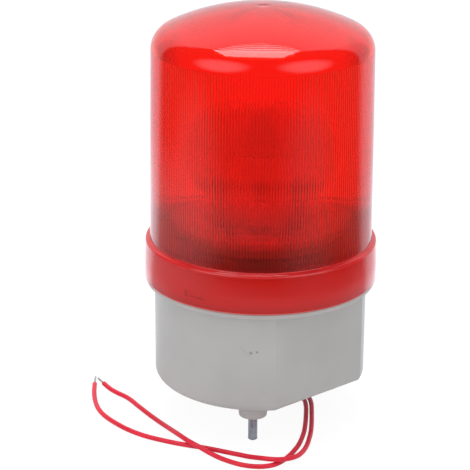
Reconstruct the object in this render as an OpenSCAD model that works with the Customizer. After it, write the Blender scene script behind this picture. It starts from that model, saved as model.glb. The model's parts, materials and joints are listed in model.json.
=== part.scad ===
// Rotating warning light: red fluted lens on a grey base, three mounting studs, two bare-ended leads.
// Origin on the lamp axis at the level of the stud tips. Z is up and one stud lies towards -Y.

/* [Lens] */
// outside diameter of the collar at its top edge
collar_d = 100.5; // [99:0.5:104]
// how far the foot of the collar stands out past its top edge
collar_flare = 0.8; // [0.3:0.1:1]
// height of the collar up to its ledge
collar_h = 17; // [16:0.5:20]
// wall thickness of the collar
collar_wall = 2.2; // [1.8:0.1:2.4]
// thickness of the ledge at the top of the collar
ledge_t = 2.2; // [1.8:0.1:2.6]
// radius round the top edge of the collar
collar_edge_r = 1.4; // [0.8:0.1:1.8]
// width of the ledge between the collar and the dome
ledge_w = 2; // [1.6:0.1:2.5]
// how far the dome narrows from the ledge to the shoulder, on each side
dome_draft = 1; // [0.5:0.1:1.3]
// wall thickness of the dome under the shoulder, to the bottom of the flutes
lens_wall = 1.8; // [1.5:0.1:2.2]
// height of the lens from the foot of the collar to the top of the crown
lens_h = 118.4; // [114:0.2:130]
// radius of the crown
crown_r = 96; // [84:2:120]
// radius of the shoulder between wall and crown
shoulder_r = 10; // [8:0.5:12]
// flutes round the inside of the dome
flute_n = 228; // [120:12:240]
// depth of the flutes
flute_depth = 0.45; // [0.3:0.05:0.6]
// diameter of the gate mark on the crown
gate_d = 4.6; // [3:0.2:6]

/* [Bayonet] */
// lugs inside the collar
lug_n = 3; // [2:1:4]
// angle that a lug spans
lug_a = 12; // [8:1:16]
// height of a lug
lug_h = 2.4; // [1.8:0.2:3]
// how far a lug stands in from the collar
lug_depth = 1.3; // [1:0.1:1.4]
// height of a lug above the foot of the collar
lug_up = 3.2; // [2.4:0.2:4]
// angle that the lens turns to come free
twist_a = 28; // [20:1:36]

/* [Base] */
// height of the base from its foot to the top of the flange
base_h = 46.6; // [44:0.1:60]
// outside diameter of the base wall
base_d = 92.6; // [92.4:0.2:95]
// diameter of the bore of the base
base_bore_d = 88; // [87:0.2:88.6]
// thickness of the floor
base_floor = 2.8; // [2.4:0.1:3.4]
// radius round the foot of the base
base_edge_r = 3; // [2:0.2:3.6]
// distance of the flat from the lamp axis
flat_dist = 39.2; // [38.5:0.1:42]
// angle from the front stud to the flat
flat_a = 45; // [40:1:50]
// wall thickness behind the flat
flat_wall = 2.4; // [2:0.1:2.8]
// radius where the flat meets the round wall
flat_corner_r = 8; // [6:0.5:10]
// how far the flange under the lens stands in from the collar
flange_in = 0.3; // [0.2:0.1:1.5]
// thickness of the flange
flange_t = 2.4; // [2:0.1:3]
// wall thickness of the neck inside the collar
neck_wall = 3; // [2.8:0.1:3.4]
// gap between the flange and the foot of the collar
collar_gap = 0.4; // [0.3:0.1:0.8]
// thickness of the gasket under the ledge
gasket_t = 1.5; // [1:0.1:2]
// width of the gasket
gasket_w = 2.4; // [1.6:0.1:2.6]

/* [Mounting] */
// pitch circle of the studs
stud_circle_d = 73; // [70:0.5:74]
// number of studs
stud_n = 3; // [2:1:4]
// thread diameter of a stud
stud_d = 4; // [3:0.5:5]
// length of a stud below its boss
stud_out = 12; // [8:0.5:20]
// diameter of a boss
boss_d = 13.4; // [12:0.1:14]
// height of a boss
boss_h = 5; // [4:0.5:8]

/* [Rotor] */
// teeth on the turntable
ring_teeth = 60; // [54:6:72]
// teeth on the pinion
pinion_teeth = 12; // [11:1:13]
// module of the teeth
tooth_m = 0.7; // [0.66:0.02:0.72]
// angle from +X to the motor
motor_a = 135; // [130:1:140]
// diameter of the turntable
turntable_d = 56; // [54.6:0.2:58]
// thickness of the turntable
turntable_t = 3; // [2.4:0.2:4]
// focal length of the reflector
focus = 12.5; // [12:0.5:14]
// radius of the upper edge of the reflector
reflector_r = 23; // [20:0.5:25]
// thickness of the reflector
reflector_t = 1.6; // [1.2:0.1:2]

/* [Lamp] */
// diameter of the lamp glass
globe_d = 18.4; // [16.6:0.2:19]
// diameter of the lamp cap
cap_d = 15.1; // [14.6:0.1:15.2]
// height of the lamp cap
cap_h = 16; // [15:0.5:18]

/* [Drive and supply] */
// diameter of the motor
motor_d = 24; // [22:0.5:25]
// length of the motor can
motor_h = 24; // [20:0.5:26]
// diameter of the motor shaft
shaft_d = 2; // [1.5:0.1:2.4]
// length of the circuit board
board_l = 44; // [42:0.5:45]
// width of the circuit board
board_w = 26; // [24:0.5:27]
// diameter of a lead
lead_d = 2.1; // [1.6:0.1:2.4]
// diameter of a bared conductor
core_d = 0.9; // [0.6:0.1:1]

/* [Fits] */
// radial clearance of a turning fit
run_fit = 0.05; // [0.02:0.01:0.1]
// radial clearance of a fixed fit
still_fit = 0.03; // [0.02:0.01:0.06]
// backlash of the gears
backlash = 0.2; // [0.14:0.02:0.3]

/* [Hidden] */
$fn = 96;

grey = [0.67, 0.67, 0.66];
red = [0.78, 0.08, 0.06];
steel = [0.72, 0.73, 0.75];
black = [0.12, 0.12, 0.12];
white = [0.92, 0.92, 0.9];
brass = [0.8, 0.65, 0.35];
green = [0.12, 0.35, 0.2];
mirror = [0.9, 0.9, 0.92];
clear = [0.85, 0.9, 0.92, 0.4];

// overlap that joins or clears the pieces of one body
eps = 0.5;

// levels
base_z = stud_out + boss_h;
floor_z = base_z + base_floor;
flange_z = base_z + base_h;
lens_z = flange_z + collar_gap;
ledge_z = lens_z + collar_h - ledge_t;
neck_z = ledge_z - gasket_t;

// lens
collar_r = collar_d / 2;
collar_in_r = collar_r - collar_wall;
lens_r = collar_r - ledge_w;
lens_top_r = lens_r - dome_draft;
flute_r = lens_top_r - lens_wall;
ridge_r = flute_r - flute_depth;
// the smooth head stands in a little from the ridges
head_step = 0.15;
head_r = ridge_r - head_step;
crown_z = lens_h - crown_r;
crown_arm = crown_r - shoulder_r;
shoulder_x = lens_top_r - shoulder_r;
shoulder_z = crown_z + sqrt(crown_arm * crown_arm - shoulder_x * shoulder_x);
gate_r = gate_d / 2;
gate_depth = 0.4;
gate_slope = 0.5;

// bayonet
neck_gap = 0.5;
neck_r = collar_in_r - neck_gap;
neck_in_r = neck_r - neck_wall;
gasket_in = 0.1;
lug_gap = 0.5;
groove_r = collar_in_r - lug_depth - lug_gap;
groove_slack_a = 1;
groove_slack_h = 0.4;
// the way in is a little narrower and deeper than the groove
entry_slack_a = 0.6;
entry_relief = 0.2;

// base
base_r = base_d / 2;
bore_r = base_bore_d / 2;
flange_r = collar_r - flange_in;
flange_edge = 0.5;
flat_dir = flat_a - 90;
flat_in = flat_dist - flat_wall;
flat_in_r = flat_corner_r - flat_wall;
// overlap where one rounded face runs into the next
corner_lap = 0.1;

// studs
stud_r = stud_d / 2;
// the shank held in the boss is thicker than the thread
shank_more = 0.2;
shank_r = stud_r + shank_more;
stud_circle_r = stud_circle_d / 2;
// head of a stud as shares of its thread
stud_head_wide = 0.95;
stud_head_tall = 0.65;
stud_head_r = stud_d * stud_head_wide;
stud_head_h = stud_d * stud_head_tall;
stud_tip = 0.6;
boss_r = boss_d / 2;
boss_draft = 0.7;

// deck
deck_up = 4.9;
deck_t = 2.5;
deck_z = flange_z + deck_up;
deck_top = deck_z + deck_t;
deck_gap = 0.7;
deck_r = neck_in_r - deck_gap;
pillar_circle_r = 34;
pillar_a = 75;
pillar_n = 3;
pillar_r = 3.5;
pillar_hole_h = 12;
screw_r = 1.45;
screw_hole_r = screw_r + still_fit;
screw_head_r = 2.8;
screw_head_h = 2;
// room under the tip of a screw
screw_tip_gap = 0.4;
// shares of a screw head: wall below the bevel, top inside the bevel, cross recess
head_wall = 0.6;
head_top = 0.75;
recess_l = 1.2;
recess_w = 0.24;
recess_up = 0.5;

// rotor stack
seat_h = 3.5;
seat_r = 13;
washer_t = 0.8;
hub_z = deck_top + seat_h + washer_t;
hub_r = 13.5;
tooth_drop = 1;
ring_z = hub_z + tooth_drop;
ring_h = 6.7;
disc_z = ring_z + ring_h;
rotor_z = disc_z + turntable_t;
ring_wall = 3;
clip_gap = 0.1;
clip_t = 1;
clip_r = 12.5;
clip_mouth_a = 70;

// lamp holder
socket_wall = 0.8;
socket_gap = 0.2;
cap_r = cap_d / 2;
socket_in_r = cap_r + socket_gap;
socket_r = socket_in_r + socket_wall;
post_bore_r = socket_r + still_fit;
post_wall = 1.9;
post_r = post_bore_r + post_wall;
clip_groove_depth = 0.8;
clip_groove_r = post_r - clip_groove_depth;
socket_up = 7.5;
socket_z = deck_top + socket_up;
socket_h = 22;
socket_base_t = 1;
post_h = 17;
wire_bore_r = 5;
spring_h = 5;
carrier_t = 2.3;
carrier_z = socket_z + socket_base_t + spring_h;
button_z = carrier_z + carrier_t;
button_h = 1.2;
button_r = 2.2;
button_stem_r = 1.2;
button_tail = 1;
button_hole_gap = 1;
solder_z = button_z + button_h;
solder_h = 1;
solder_r = 2.8;
solder_taper = 0.4;
cap_z = solder_z + solder_h;
cap_top = cap_z + cap_h;
spring_wire_d = 0.8;
spring_r = 4.2;
spring_turns = 4;
spring_steps = 12;
pin_r = 1;
pin_up = 5.7;
pin_reach = 0.9;
slot_play = 0.3;
slot_turn_a = 20;

// lamp
globe_r = globe_d / 2;
globe_up = 9.5;
lamp_z = cap_top + globe_up;
glass_t = 0.8;
glass_neck_gap = 0.65;
glass_neck_r = cap_r - glass_neck_gap;
glass_in = 7.5;
glass_foot_z = cap_top - glass_in;
stem_r = 3.7;
stem_h = 8;
filament_r = 3;
filament_wire_r = 0.3;
filament_rod_r = 0.35;
filament_drop = 1.5;
filament_rod_h = lamp_z - glass_foot_z - stem_h - filament_drop;

// reflector
vertex_t = reflector_t;
bowl_rim = 3;
bowl_r = reflector_r + bowl_rim;
bowl_up = 3;
bowl_steps = 12;
bowl_foot_w = 8;
bowl_foot_drop = 20;
bowl_cut_gap = 3.2;
bowl_cut_r = cap_r + bowl_cut_gap;
bracket_w = 14;
bracket_t = 2.4;
bracket_lap = 0.9;
bracket_up = 6;
bracket_y = focus + vertex_t - bracket_lap;
foot_w = 18;
foot_l = 10.5;
foot_t = 2;
small_screw_r = 1.2;
small_hole_r = small_screw_r + still_fit;
small_head_r = 2.2;
small_head_h = 1.5;
foot_screw_x = 5.5;
foot_screw_out = 5.8;
foot_screw_y = bracket_y + foot_screw_out;

// gears
pressure_a = 25;
addendum = 0.8;
dedendum = 1.05;
flank_steps = 3;
gear_gap = tooth_m * (ring_teeth + pinion_teeth) / 2;
ring_pitch_r = tooth_m * ring_teeth / 2;
ring_root_r = ring_pitch_r - dedendum * tooth_m;
pinion_over = 0.2;

// motor
motor_r = motor_d / 2;
motor_z = deck_z - motor_h;
motor_nose_r = 4;
motor_nose_h = 2.2;
nose_gap = 0.2;
motor_edge = 1;
end_cap_h = 4;
end_cap_in = 0.4;
end_cap_r = motor_r - end_cap_in;
end_cap_taper = 1;
shaft_r = shaft_d / 2;
shaft_in = 10;
shaft_foot_gap = 0.2;
shaft_under = 0.3;
shaft_top = disc_z - shaft_under;
motor_screw_x = 8;
motor_screw_in = 4;
tab_w = 2.4;
tab_t = 0.6;
tab_h = 4;
tab_seat = 2;
tab_y = 6;

// circuit board
board_x = -6;
board_y = -10;
board_t = 1.6;
board_up = 4;
board_z = floor_z + board_up;
board_top = board_z + board_t;
board_hole_in = 3.5;
board_hole_x = board_l / 2 - board_hole_in;
board_hole_y = board_w / 2 - board_hole_in;
standoff_r = 3;
board_screw_l = 4;
capacitor_r = 5;
capacitor_h = 16;
capacitor_edge = 0.8;
capacitor_x = -16;
capacitor_y = -8;
resistor_r = 2.8;
resistor_l = 14;
resistor_x = 2;
resistor_y = -18;
diode_r = 1.35;
diode_l = 5.2;
diode_pitch = 4.4;
diode_y = -9;
diode_x = -8;
diode_n = 4;
leg_r = 0.4;
leg_out = 1.6;
leg_rise = 0.6;

// grommet
grommet_x = 11;
grommet_y = 14;
grommet_r = 4.4;
grommet_hole_r = grommet_r + still_fit;
grommet_lip_r = 6;
grommet_lip_t = 1.5;
grommet_taper = 0.6;
grommet_a = 40;
lead_gap = 0.3;
lead_split = (lead_d + lead_gap) / 2;
exit_z = base_z - grommet_lip_t;
lead_r = lead_d / 2;
lead_a_x = grommet_x - lead_split * cos(grommet_a);
lead_a_y = grommet_y - lead_split * sin(grommet_a);
lead_b_x = grommet_x + lead_split * cos(grommet_a);
lead_b_y = grommet_y + lead_split * sin(grommet_a);
lead_sides = 8;
// longest step along a lead, in lead diameters
lead_step = 3;
inner_lead_d = 1.4;

// one lead resting on the other
lead_rest_gap = 0.2;
lead_ride = 2 * lead_d + lead_rest_gap - lead_r;
route_a = [
    [lead_a_x, lead_a_y, exit_z], [lead_a_x, lead_a_y, exit_z - 3], [10.9, 12.6, 8.6], [12.8, 11, 4.8],
    [15.6, 8.6, 2.3], [18.4, 5.8, 1.3], [20.4, 2.2, lead_r], [21.3, -3, lead_r], [21.7, -8.6, lead_r],
    [22, -19.5, lead_r], [21.8, -30.2, lead_r], [20.5, -40.9, lead_r], [18.7, -47.8, lead_r],
    [16.6, -53.4, lead_r], [14.1, -58.2, lead_r], [11, -61.8, lead_r], [7.2, -63.7, lead_r],
    [3.2, -64.2, lead_r], [-0.8, -63.7, lead_r], [-4.8, -62.3, lead_r], [-9, -60, lead_r],
    [-12.9, -57.4, 1.1], [-17.3, -54.3, 1.6], [-21.3, -51.7, 2.5], [-24.6, -49.7, 3.15],
    [-27.9, -46.6, lead_ride], [-31.1, -42.4, 3.15], [-34.5, -37.3, 2.5], [-37.9, -32, 1.7],
    [-42.3, -25.8, 1.15], [-46.7, -20.1, lead_r], [-53.2, -11.3, lead_r], [-57.3, -5.5, lead_r],
    [-60.6, -1.8, lead_r], [-64.5, 1.5, lead_r], [-67.8, 4.8, lead_r], [-70.3, 8.1, lead_r],
    [-72.3, 11.1, lead_r]
];
route_b = [
    [lead_b_x, lead_b_y, exit_z], [lead_b_x, lead_b_y, exit_z - 3], [12.9, 14.2, 8.6], [15, 12.8, 4.8],
    [17.9, 10.6, 2.3], [20.6, 7.8, 1.3], [22.6, 4.2, lead_r], [23.7, -1.5, lead_r],
    [24.2, -8.4, lead_r], [24.7, -19.3, lead_r], [24.8, -29.9, lead_r], [24, -40.5, lead_r],
    [22.9, -46.5, lead_r], [21.2, -52, 1.4], [19, -56.4, 2.2], [16.2, -59.8, 3],
    [12.9, -61.4, lead_ride], [9.4, -61.4, lead_ride], [6, -59.7, 2.7], [2.8, -57.5, 1.8],
    [-0.6, -55.6, 1.15], [-4.4, -54.1, lead_r], [-9.6, -52.4, lead_r], [-15, -50.6, lead_r],
    [-20.4, -49, lead_r], [-26, -47.7, lead_r], [-31.6, -46.2, lead_r], [-38, -44, lead_r],
    [-44.4, -41.4, lead_r], [-49.7, -38.5, lead_r], [-55, -34.7, lead_r], [-60.1, -30, lead_r],
    [-64.7, -25, lead_r], [-68.2, -20.2, lead_r], [-70.9, -14.9, lead_r], [-72.9, -9.1, lead_r],
    [-74.4, -3.1, lead_r], [-75.5, 3, lead_r], [-76.4, 10.2, lead_r]
];
core_route_a = [[-72.33, 11.14, lead_r], [-73.7, 13.2, lead_r], [-74.9, 15.4, 0.85], [-75.9, 17.3, 0.6]];
core_route_b = [[-76.41, 10.25, lead_r], [-76.76, 13.1, lead_r], [-77.1, 16, 0.85], [-77.4, 18.8, 0.6]];

// supply leads from the grommet to the board
pad_a = [4.5, 0];
pad_b = [8.5, 0.5];
// they rise straight out of the grommet, arch over and drop straight to the board
supply_up = 4;
supply_side = 9;
supply_top = 12.4;
supply_drop = 4;
lamp_lead_x = 1.8;
lamp_lead_bow = 3;
lamp_lead_y = -1;
lamp_lead_up = 5;
lamp_lead_spread = 0.5;
lamp_lead_step = 6;
motor_pad_a = [-23, 0];
motor_pad_b = [-19, 1];
motor_lead_up = 2.4;
motor_lead_arch = 5.6;
motor_lead_sag = 4.4;
motor_lead_in = 2;
motor_lead_step = 3;

// points

function motor_xy() = [gear_gap * cos(motor_a), gear_gap * sin(motor_a)];

function unit(v) = v / norm(v);

function mix(a, b, t) = a + (b - a) * t;

function raised(p, z) = [p[0], p[1], z];

// smooth point between b and c on a curve through a, b, c and d
function between(a, b, c, d, t) =
    0.5 * ((2 * b) + (c - a) * t + (2 * a - 5 * b + 4 * c - d) * t * t
    + (3 * b - a - 3 * c + d) * t * t * t);

function steps(p, i, longest) = max(1, ceil(norm(p[i + 1] - p[i]) / longest));

// curve through the points of a route
function smooth(p, longest) = concat(
    [
        for (i = [0 : len(p) - 2], k = [0 : steps(p, i, longest) - 1])
            between(p[max(i - 1, 0)], p[i], p[i + 1], p[min(i + 2, len(p) - 1)], k / steps(p, i, longest))
    ],
    [p[len(p) - 1]]
);

function heading(p, i) = unit(p[min(i + 1, len(p) - 1)] - p[max(i - 1, 0)]);

function across(t, n) = unit(n - (n * t) * t);

// side vectors carried along a curve without twist
function sides(p, i, n) = i == len(p) ? [] : concat(
    [across(heading(p, i), n)],
    sides(p, i + 1, across(heading(p, i), n))
);

function ring_points(c, t, n, r, count) = [
    for (s = [0 : count - 1]) c + r * (cos(s * 360 / count) * n + sin(s * 360 / count) * cross(t, n))
];

function supply_route(hole, pad) = [
    raised(hole, exit_z), raised(hole, floor_z), raised(hole, floor_z + supply_up),
    raised(mix(hole, pad, 0.12), floor_z + supply_side), raised(mix(hole, pad, 0.45), floor_z + supply_top),
    raised(mix(hole, pad, 0.8), floor_z + supply_top), raised(pad, board_top + supply_drop),
    raised(pad, board_top)
];

function motor_route(pad, tab, low) = [
    raised(pad, board_top), raised(pad, board_top + motor_lead_up),
    raised(mix(pad, tab, 0.1), board_top + 2 * motor_lead_up),
    raised(mix(pad, tab, 0.5), board_top + motor_lead_arch), raised(mix(pad, tab, 0.9), low - motor_lead_sag),
    raised(tab, low - motor_lead_in), raised(tab, low)
];

// involute teeth
function roll(a) = tan(a) * 180 / PI - a;

function flank_a(r, teeth, thin) =
    90 / teeth - thin / (tooth_m * teeth) * 180 / PI
    + roll(pressure_a) - roll(acos(min(1, tooth_m * teeth / 2 * cos(pressure_a) / r)));

function base_circle_r(teeth) = tooth_m * teeth / 2 * cos(pressure_a);

function root_r(teeth) = tooth_m * (teeth / 2 - dedendum);

function tip_r(teeth) = tooth_m * (teeth / 2 + addendum);

function flank_radii(teeth) = let (start = max(base_circle_r(teeth), root_r(teeth))) concat(
    base_circle_r(teeth) > root_r(teeth) ? [root_r(teeth)] : [],
    [for (k = [0 : flank_steps]) start + (tip_r(teeth) - start) * k / flank_steps]
);

// half the angle of a tooth at a radius, straight below the base circle
function tooth_half_a(r, teeth) = flank_a(max(r, base_circle_r(teeth)), teeth, backlash / 2);

function polar(r, a) = [r * cos(a), r * sin(a)];

function tooth_points(teeth, a, rs) = concat(
    [for (k = [0 : len(rs) - 1]) polar(rs[k], a - tooth_half_a(rs[k], teeth))],
    [for (k = [len(rs) - 1 : -1 : 0]) polar(rs[k], a + tooth_half_a(rs[k], teeth))]
);

function gear_points(teeth) = [
    for (i = [0 : teeth - 1]) each tooth_points(teeth, i * 360 / teeth, flank_radii(teeth))
];

function flute_points() = [
    for (i = [0 : flute_n - 1], k = [0, 1])
        polar(k == 0 ? flute_r : ridge_r, (i + k / 2) * 360 / flute_n)
];

// depth of the bowl of the reflector at a radius
function bowl(r) = r * r / (4 * focus) - focus;

// shared shapes

module tube(route, d, longest) {
    path = smooth(route, longest);
    first = heading(path, 0);
    start = across(first, abs(first[2]) > 0.9 ? [1, 0, 0] : [0, 0, 1]);
    n = sides(path, 0, start);
    last = len(path) - 1;
    points = [for (i = [0 : last]) each ring_points(path[i], heading(path, i), n[i], d / 2, lead_sides)];
    skin = [
        for (i = [0 : last - 1], s = [0 : lead_sides - 1])
            each [
                [
                    i * lead_sides + s,
                    (i + 1) * lead_sides + s,
                    (i + 1) * lead_sides + (s + 1) % lead_sides
                ],
                [
                    i * lead_sides + s,
                    (i + 1) * lead_sides + (s + 1) % lead_sides,
                    i * lead_sides + (s + 1) % lead_sides
                ]
            ]
    ];
    front = [[for (s = [0 : lead_sides - 1]) s]];
    back = [[for (s = [lead_sides - 1 : -1 : 0]) last * lead_sides + s]];
    polyhedron(points = points, faces = concat(front, skin, back));
}

// plan of the side that carries the flat: straight at d, turning off at both ends; the flat faces +X
module flat_plan(r, d, c) {
    u = d - c;
    l = r - c + corner_lap;
    v = sqrt(l * l - u * u);
    reach = 3 * c;
    difference() {
        translate([-2 * r, -2 * r]) square([2 * r + d, 4 * r]);
        for (s = [-1, 1])
            polygon([
                [u, s * v],
                [u + reach, s * v],
                [u + reach, s * 2 * r],
                [u + r * u / l, s * (v + r * v / l)]
            ]);
    }
    for (s = [-1, 1]) translate([u, s * v]) circle(r = c);
}

// ring sector between two radii, from one angle to another
module sector(r0, r1, z0, z1, a0, a1) {
    rotate([0, 0, a0])
        rotate_extrude(angle = a1 - a0)
            translate([r0, z0]) square([r1 - r0, z1 - z0]);
}

module at_studs() {
    for (i = [0 : stud_n - 1])
        rotate([0, 0, i * 360 / stud_n]) translate([0, -stud_circle_r, 0]) children();
}

module at_pillars() {
    for (i = [0 : pillar_n - 1])
        rotate([0, 0, pillar_a + i * 360 / pillar_n]) translate([pillar_circle_r, 0, 0]) children();
}

module at_motor() {
    translate([motor_xy()[0], motor_xy()[1], 0]) rotate([0, 0, motor_a]) children();
}

module at_motor_screws() {
    at_motor() for (s = [-1, 1]) translate([0, s * motor_screw_x, 0]) children();
}

module at_foot_screws() {
    for (s = [-1, 1]) translate([s * foot_screw_x, -foot_screw_y, 0]) children();
}

module at_board_screws() {
    for (s = [-1, 1])
        translate([board_x + s * board_hole_x, board_y + s * board_hole_y, 0]) children();
}

// screw with its head resting at z = 0
module pan_screw(r, l, head_r, head_h) {
    translate([0, 0, -l]) cylinder(r = r, h = l + head_h / 2);
    difference() {
        union() {
            cylinder(r = head_r, h = head_h * head_wall);
            translate([0, 0, head_h * head_wall])
                cylinder(r1 = head_r, r2 = head_r * head_top, h = head_h * (1 - head_wall));
        }
        for (a = [0, 90])
            rotate([0, 0, a])
                translate([-head_r * recess_l / 2, -head_r * recess_w / 2, head_h * recess_up])
                    cube([head_r * recess_l, head_r * recess_w, head_h]);
    }
}

module leg_pair(x, y, half, z) {
    for (s = [-1, 1]) {
        translate([x + s * half, y, z]) rotate([0, s * 90, 0]) cylinder(r = leg_r, h = leg_out);
        translate([x + s * (half + leg_out), y, board_top]) cylinder(r = leg_r, h = z - board_top + leg_r);
    }
}

// pieces of the base

module base_housing() {
    color(grey)
        difference() {
            union() {
                difference() {
                    intersection() {
                        translate([0, 0, base_z]) rotate_extrude() foot_profile();
                        rotate([0, 0, flat_dir])
                            linear_extrude(height = flange_z) flat_plan(base_r, flat_dist, flat_corner_r);
                    }
                    flat_foot_round();
                }
                translate([0, 0, flange_z - flange_t])
                    rotate_extrude()
                        polygon([
                            [0, 0], [flange_r - flange_edge, 0],
                            [flange_r, flange_edge], [flange_r, flange_t - flange_edge],
                            [flange_r - flange_edge, flange_t], [0, flange_t]
                        ]);
                translate([0, 0, flange_z - eps]) cylinder(r = neck_r, h = neck_z - flange_z + eps);
                at_studs()
                    translate([0, 0, stud_out])
                        cylinder(r1 = boss_r - boss_draft, r2 = boss_r, h = boss_h + eps);
            }
            difference() {
                base_hollow();
                at_pillars()
                    translate([0, 0, floor_z - eps]) cylinder(r = pillar_r, h = deck_z - floor_z + eps);
                at_board_screws()
                    translate([0, 0, floor_z - eps]) cylinder(r = standoff_r, h = board_up + eps);
            }
            at_pillars()
                translate([0, 0, deck_z - pillar_hole_h]) cylinder(r = screw_hole_r, h = pillar_hole_h + eps);
            at_board_screws()
                translate([0, 0, board_z - board_screw_l])
                    cylinder(r = small_hole_r, h = board_screw_l + eps);
            at_studs()
                translate([0, 0, stud_out - eps])
                    cylinder(r = shank_r + still_fit, h = boss_h + base_floor + 2 * eps);
            translate([grommet_x, grommet_y, base_z - eps])
                cylinder(r = grommet_hole_r, h = base_floor + 2 * eps);
            bayonet_grooves();
        }
}

module foot_profile() {
    h = base_h - flange_t / 2;
    square([base_r - base_edge_r, h]);
    translate([0, base_edge_r]) square([base_r, h - base_edge_r]);
    translate([base_r - base_edge_r, base_edge_r]) circle(r = base_edge_r);
}

// rounding cut from the foot of the flat
module flat_foot_round() {
    rotate([0, 0, flat_dir])
        translate([flat_dist - base_edge_r, 0, base_z])
            rotate([90, 0, 0])
                linear_extrude(height = base_d, center = true)
                    difference() {
                        translate([0, -eps]) square([base_edge_r + eps, base_edge_r + eps]);
                        translate([0, base_edge_r]) circle(r = base_edge_r + corner_lap / 2);
                    }
}

module base_hollow() {
    intersection() {
        translate([0, 0, floor_z]) cylinder(r = bore_r, h = flange_z - flange_t - floor_z);
        rotate([0, 0, flat_dir])
            linear_extrude(height = 2 * flange_z) flat_plan(bore_r, flat_in, flat_in_r);
    }
    intersection() {
        translate([0, 0, flange_z - flange_t - eps]) cylinder(r = neck_in_r, h = flange_t + eps);
        rotate([0, 0, flat_dir])
            linear_extrude(height = 2 * flange_z) flat_plan(neck_in_r, flat_in, flat_in_r);
    }
    translate([0, 0, flange_z - eps]) cylinder(r = neck_in_r, h = neck_z - flange_z + 2 * eps);
}

module bayonet_grooves() {
    low = lens_z + lug_up - groove_slack_h;
    high = lens_z + lug_up + lug_h + groove_slack_h;
    for (i = [0 : lug_n - 1])
        rotate([0, 0, i * 360 / lug_n]) {
            sector(
                groove_r, neck_r + eps, low, high,
                -lug_a / 2 - groove_slack_a, lug_a / 2 + twist_a + groove_slack_a
            );
            sector(
                groove_r - entry_relief, neck_r + eps, high - eps, neck_z + eps,
                twist_a - lug_a / 2 - entry_slack_a, twist_a + lug_a / 2 + entry_slack_a
            );
        }
}

module mounting_studs() {
    color(steel)
        at_studs() {
            cylinder(r1 = stud_r - stud_tip, r2 = stud_r, h = stud_tip);
            translate([0, 0, stud_tip]) cylinder(r = stud_r, h = stud_out - stud_tip);
            translate([0, 0, stud_out]) cylinder(r = shank_r, h = floor_z - stud_out + eps);
            translate([0, 0, floor_z]) cylinder(r = stud_head_r, h = stud_head_h, $fn = 6);
        }
}

module cable_grommet() {
    color(black)
        difference() {
            translate([grommet_x, grommet_y, 0]) {
                translate([0, 0, exit_z])
                    cylinder(r1 = grommet_lip_r - grommet_taper, r2 = grommet_lip_r, h = grommet_lip_t);
                translate([0, 0, base_z - eps]) cylinder(r = grommet_r, h = base_floor + 2 * eps);
                translate([0, 0, floor_z])
                    cylinder(r1 = grommet_lip_r, r2 = grommet_lip_r - grommet_taper, h = grommet_lip_t);
            }
            for (p = [[lead_a_x, lead_a_y], [lead_b_x, lead_b_y]])
                translate([p[0], p[1], exit_z - eps])
                    cylinder(r = lead_r + still_fit, h = base_floor + 2 * grommet_lip_t + 2 * eps);
        }
}

// lens

// upper half of a dome: crown, shoulder and wall inside the shoulder
module head_profile(r) {
    intersection() {
        translate([0, crown_z]) circle(r = crown_arm + r);
        polygon([
            [0, crown_z], [0, crown_z + 2 * crown_r],
            [2 * crown_r * shoulder_x / crown_arm, crown_z + 2 * crown_r * (shoulder_z - crown_z) / crown_arm]
        ]);
    }
    translate([shoulder_x, shoulder_z]) circle(r = r);
    polygon([
        [0, crown_z], [shoulder_x + r, crown_z],
        [shoulder_x + r, shoulder_z], [shoulder_x, shoulder_z]
    ]);
}

module collar_profile() {
    polygon([
        [0, 0], [collar_r + collar_flare, 0],
        [collar_r, collar_h - collar_edge_r], [0, collar_h - collar_edge_r]
    ]);
    square([collar_r - collar_edge_r, collar_h]);
    translate([collar_r - collar_edge_r, collar_h - collar_edge_r]) circle(r = collar_edge_r);
}

module lens() {
    inner = head_r - shoulder_x;
    color(red)
        translate([0, 0, lens_z]) {
            difference() {
                union() {
                    rotate_extrude() collar_profile();
                    translate([0, 0, collar_h - ledge_t])
                        cylinder(
                            r1 = lens_r, r2 = lens_top_r,
                            h = shoulder_z - collar_h + ledge_t
                        );
                    rotate_extrude() head_profile(shoulder_r);
                }
                translate([0, 0, -eps]) cylinder(r = collar_in_r, h = collar_h - ledge_t + eps);
                translate([0, 0, collar_h - ledge_t - eps])
                    linear_extrude(height = shoulder_z - collar_h + ledge_t + eps) polygon(flute_points());
                intersection() {
                    rotate_extrude() head_profile(inner);
                    translate([0, 0, shoulder_z - eps]) cylinder(r = collar_d, h = lens_h);
                }
                translate([0, 0, lens_h - gate_depth])
                    cylinder(r1 = gate_r - gate_slope, r2 = gate_r + gate_slope, h = 2 * gate_depth);
            }
            for (i = [0 : lug_n - 1])
                rotate([0, 0, i * 360 / lug_n])
                    sector(
                        collar_in_r - lug_depth, collar_in_r + collar_wall / 2,
                        lug_up, lug_up + lug_h, -lug_a / 2, lug_a / 2
                    );
        }
}

module lens_gasket() {
    color(black)
        translate([0, 0, neck_z])
            difference() {
                cylinder(r = neck_r - gasket_in, h = gasket_t);
                translate([0, 0, -eps]) cylinder(r = neck_r - gasket_in - gasket_w, h = gasket_t + 2 * eps);
            }
}

// deck and rotor

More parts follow.
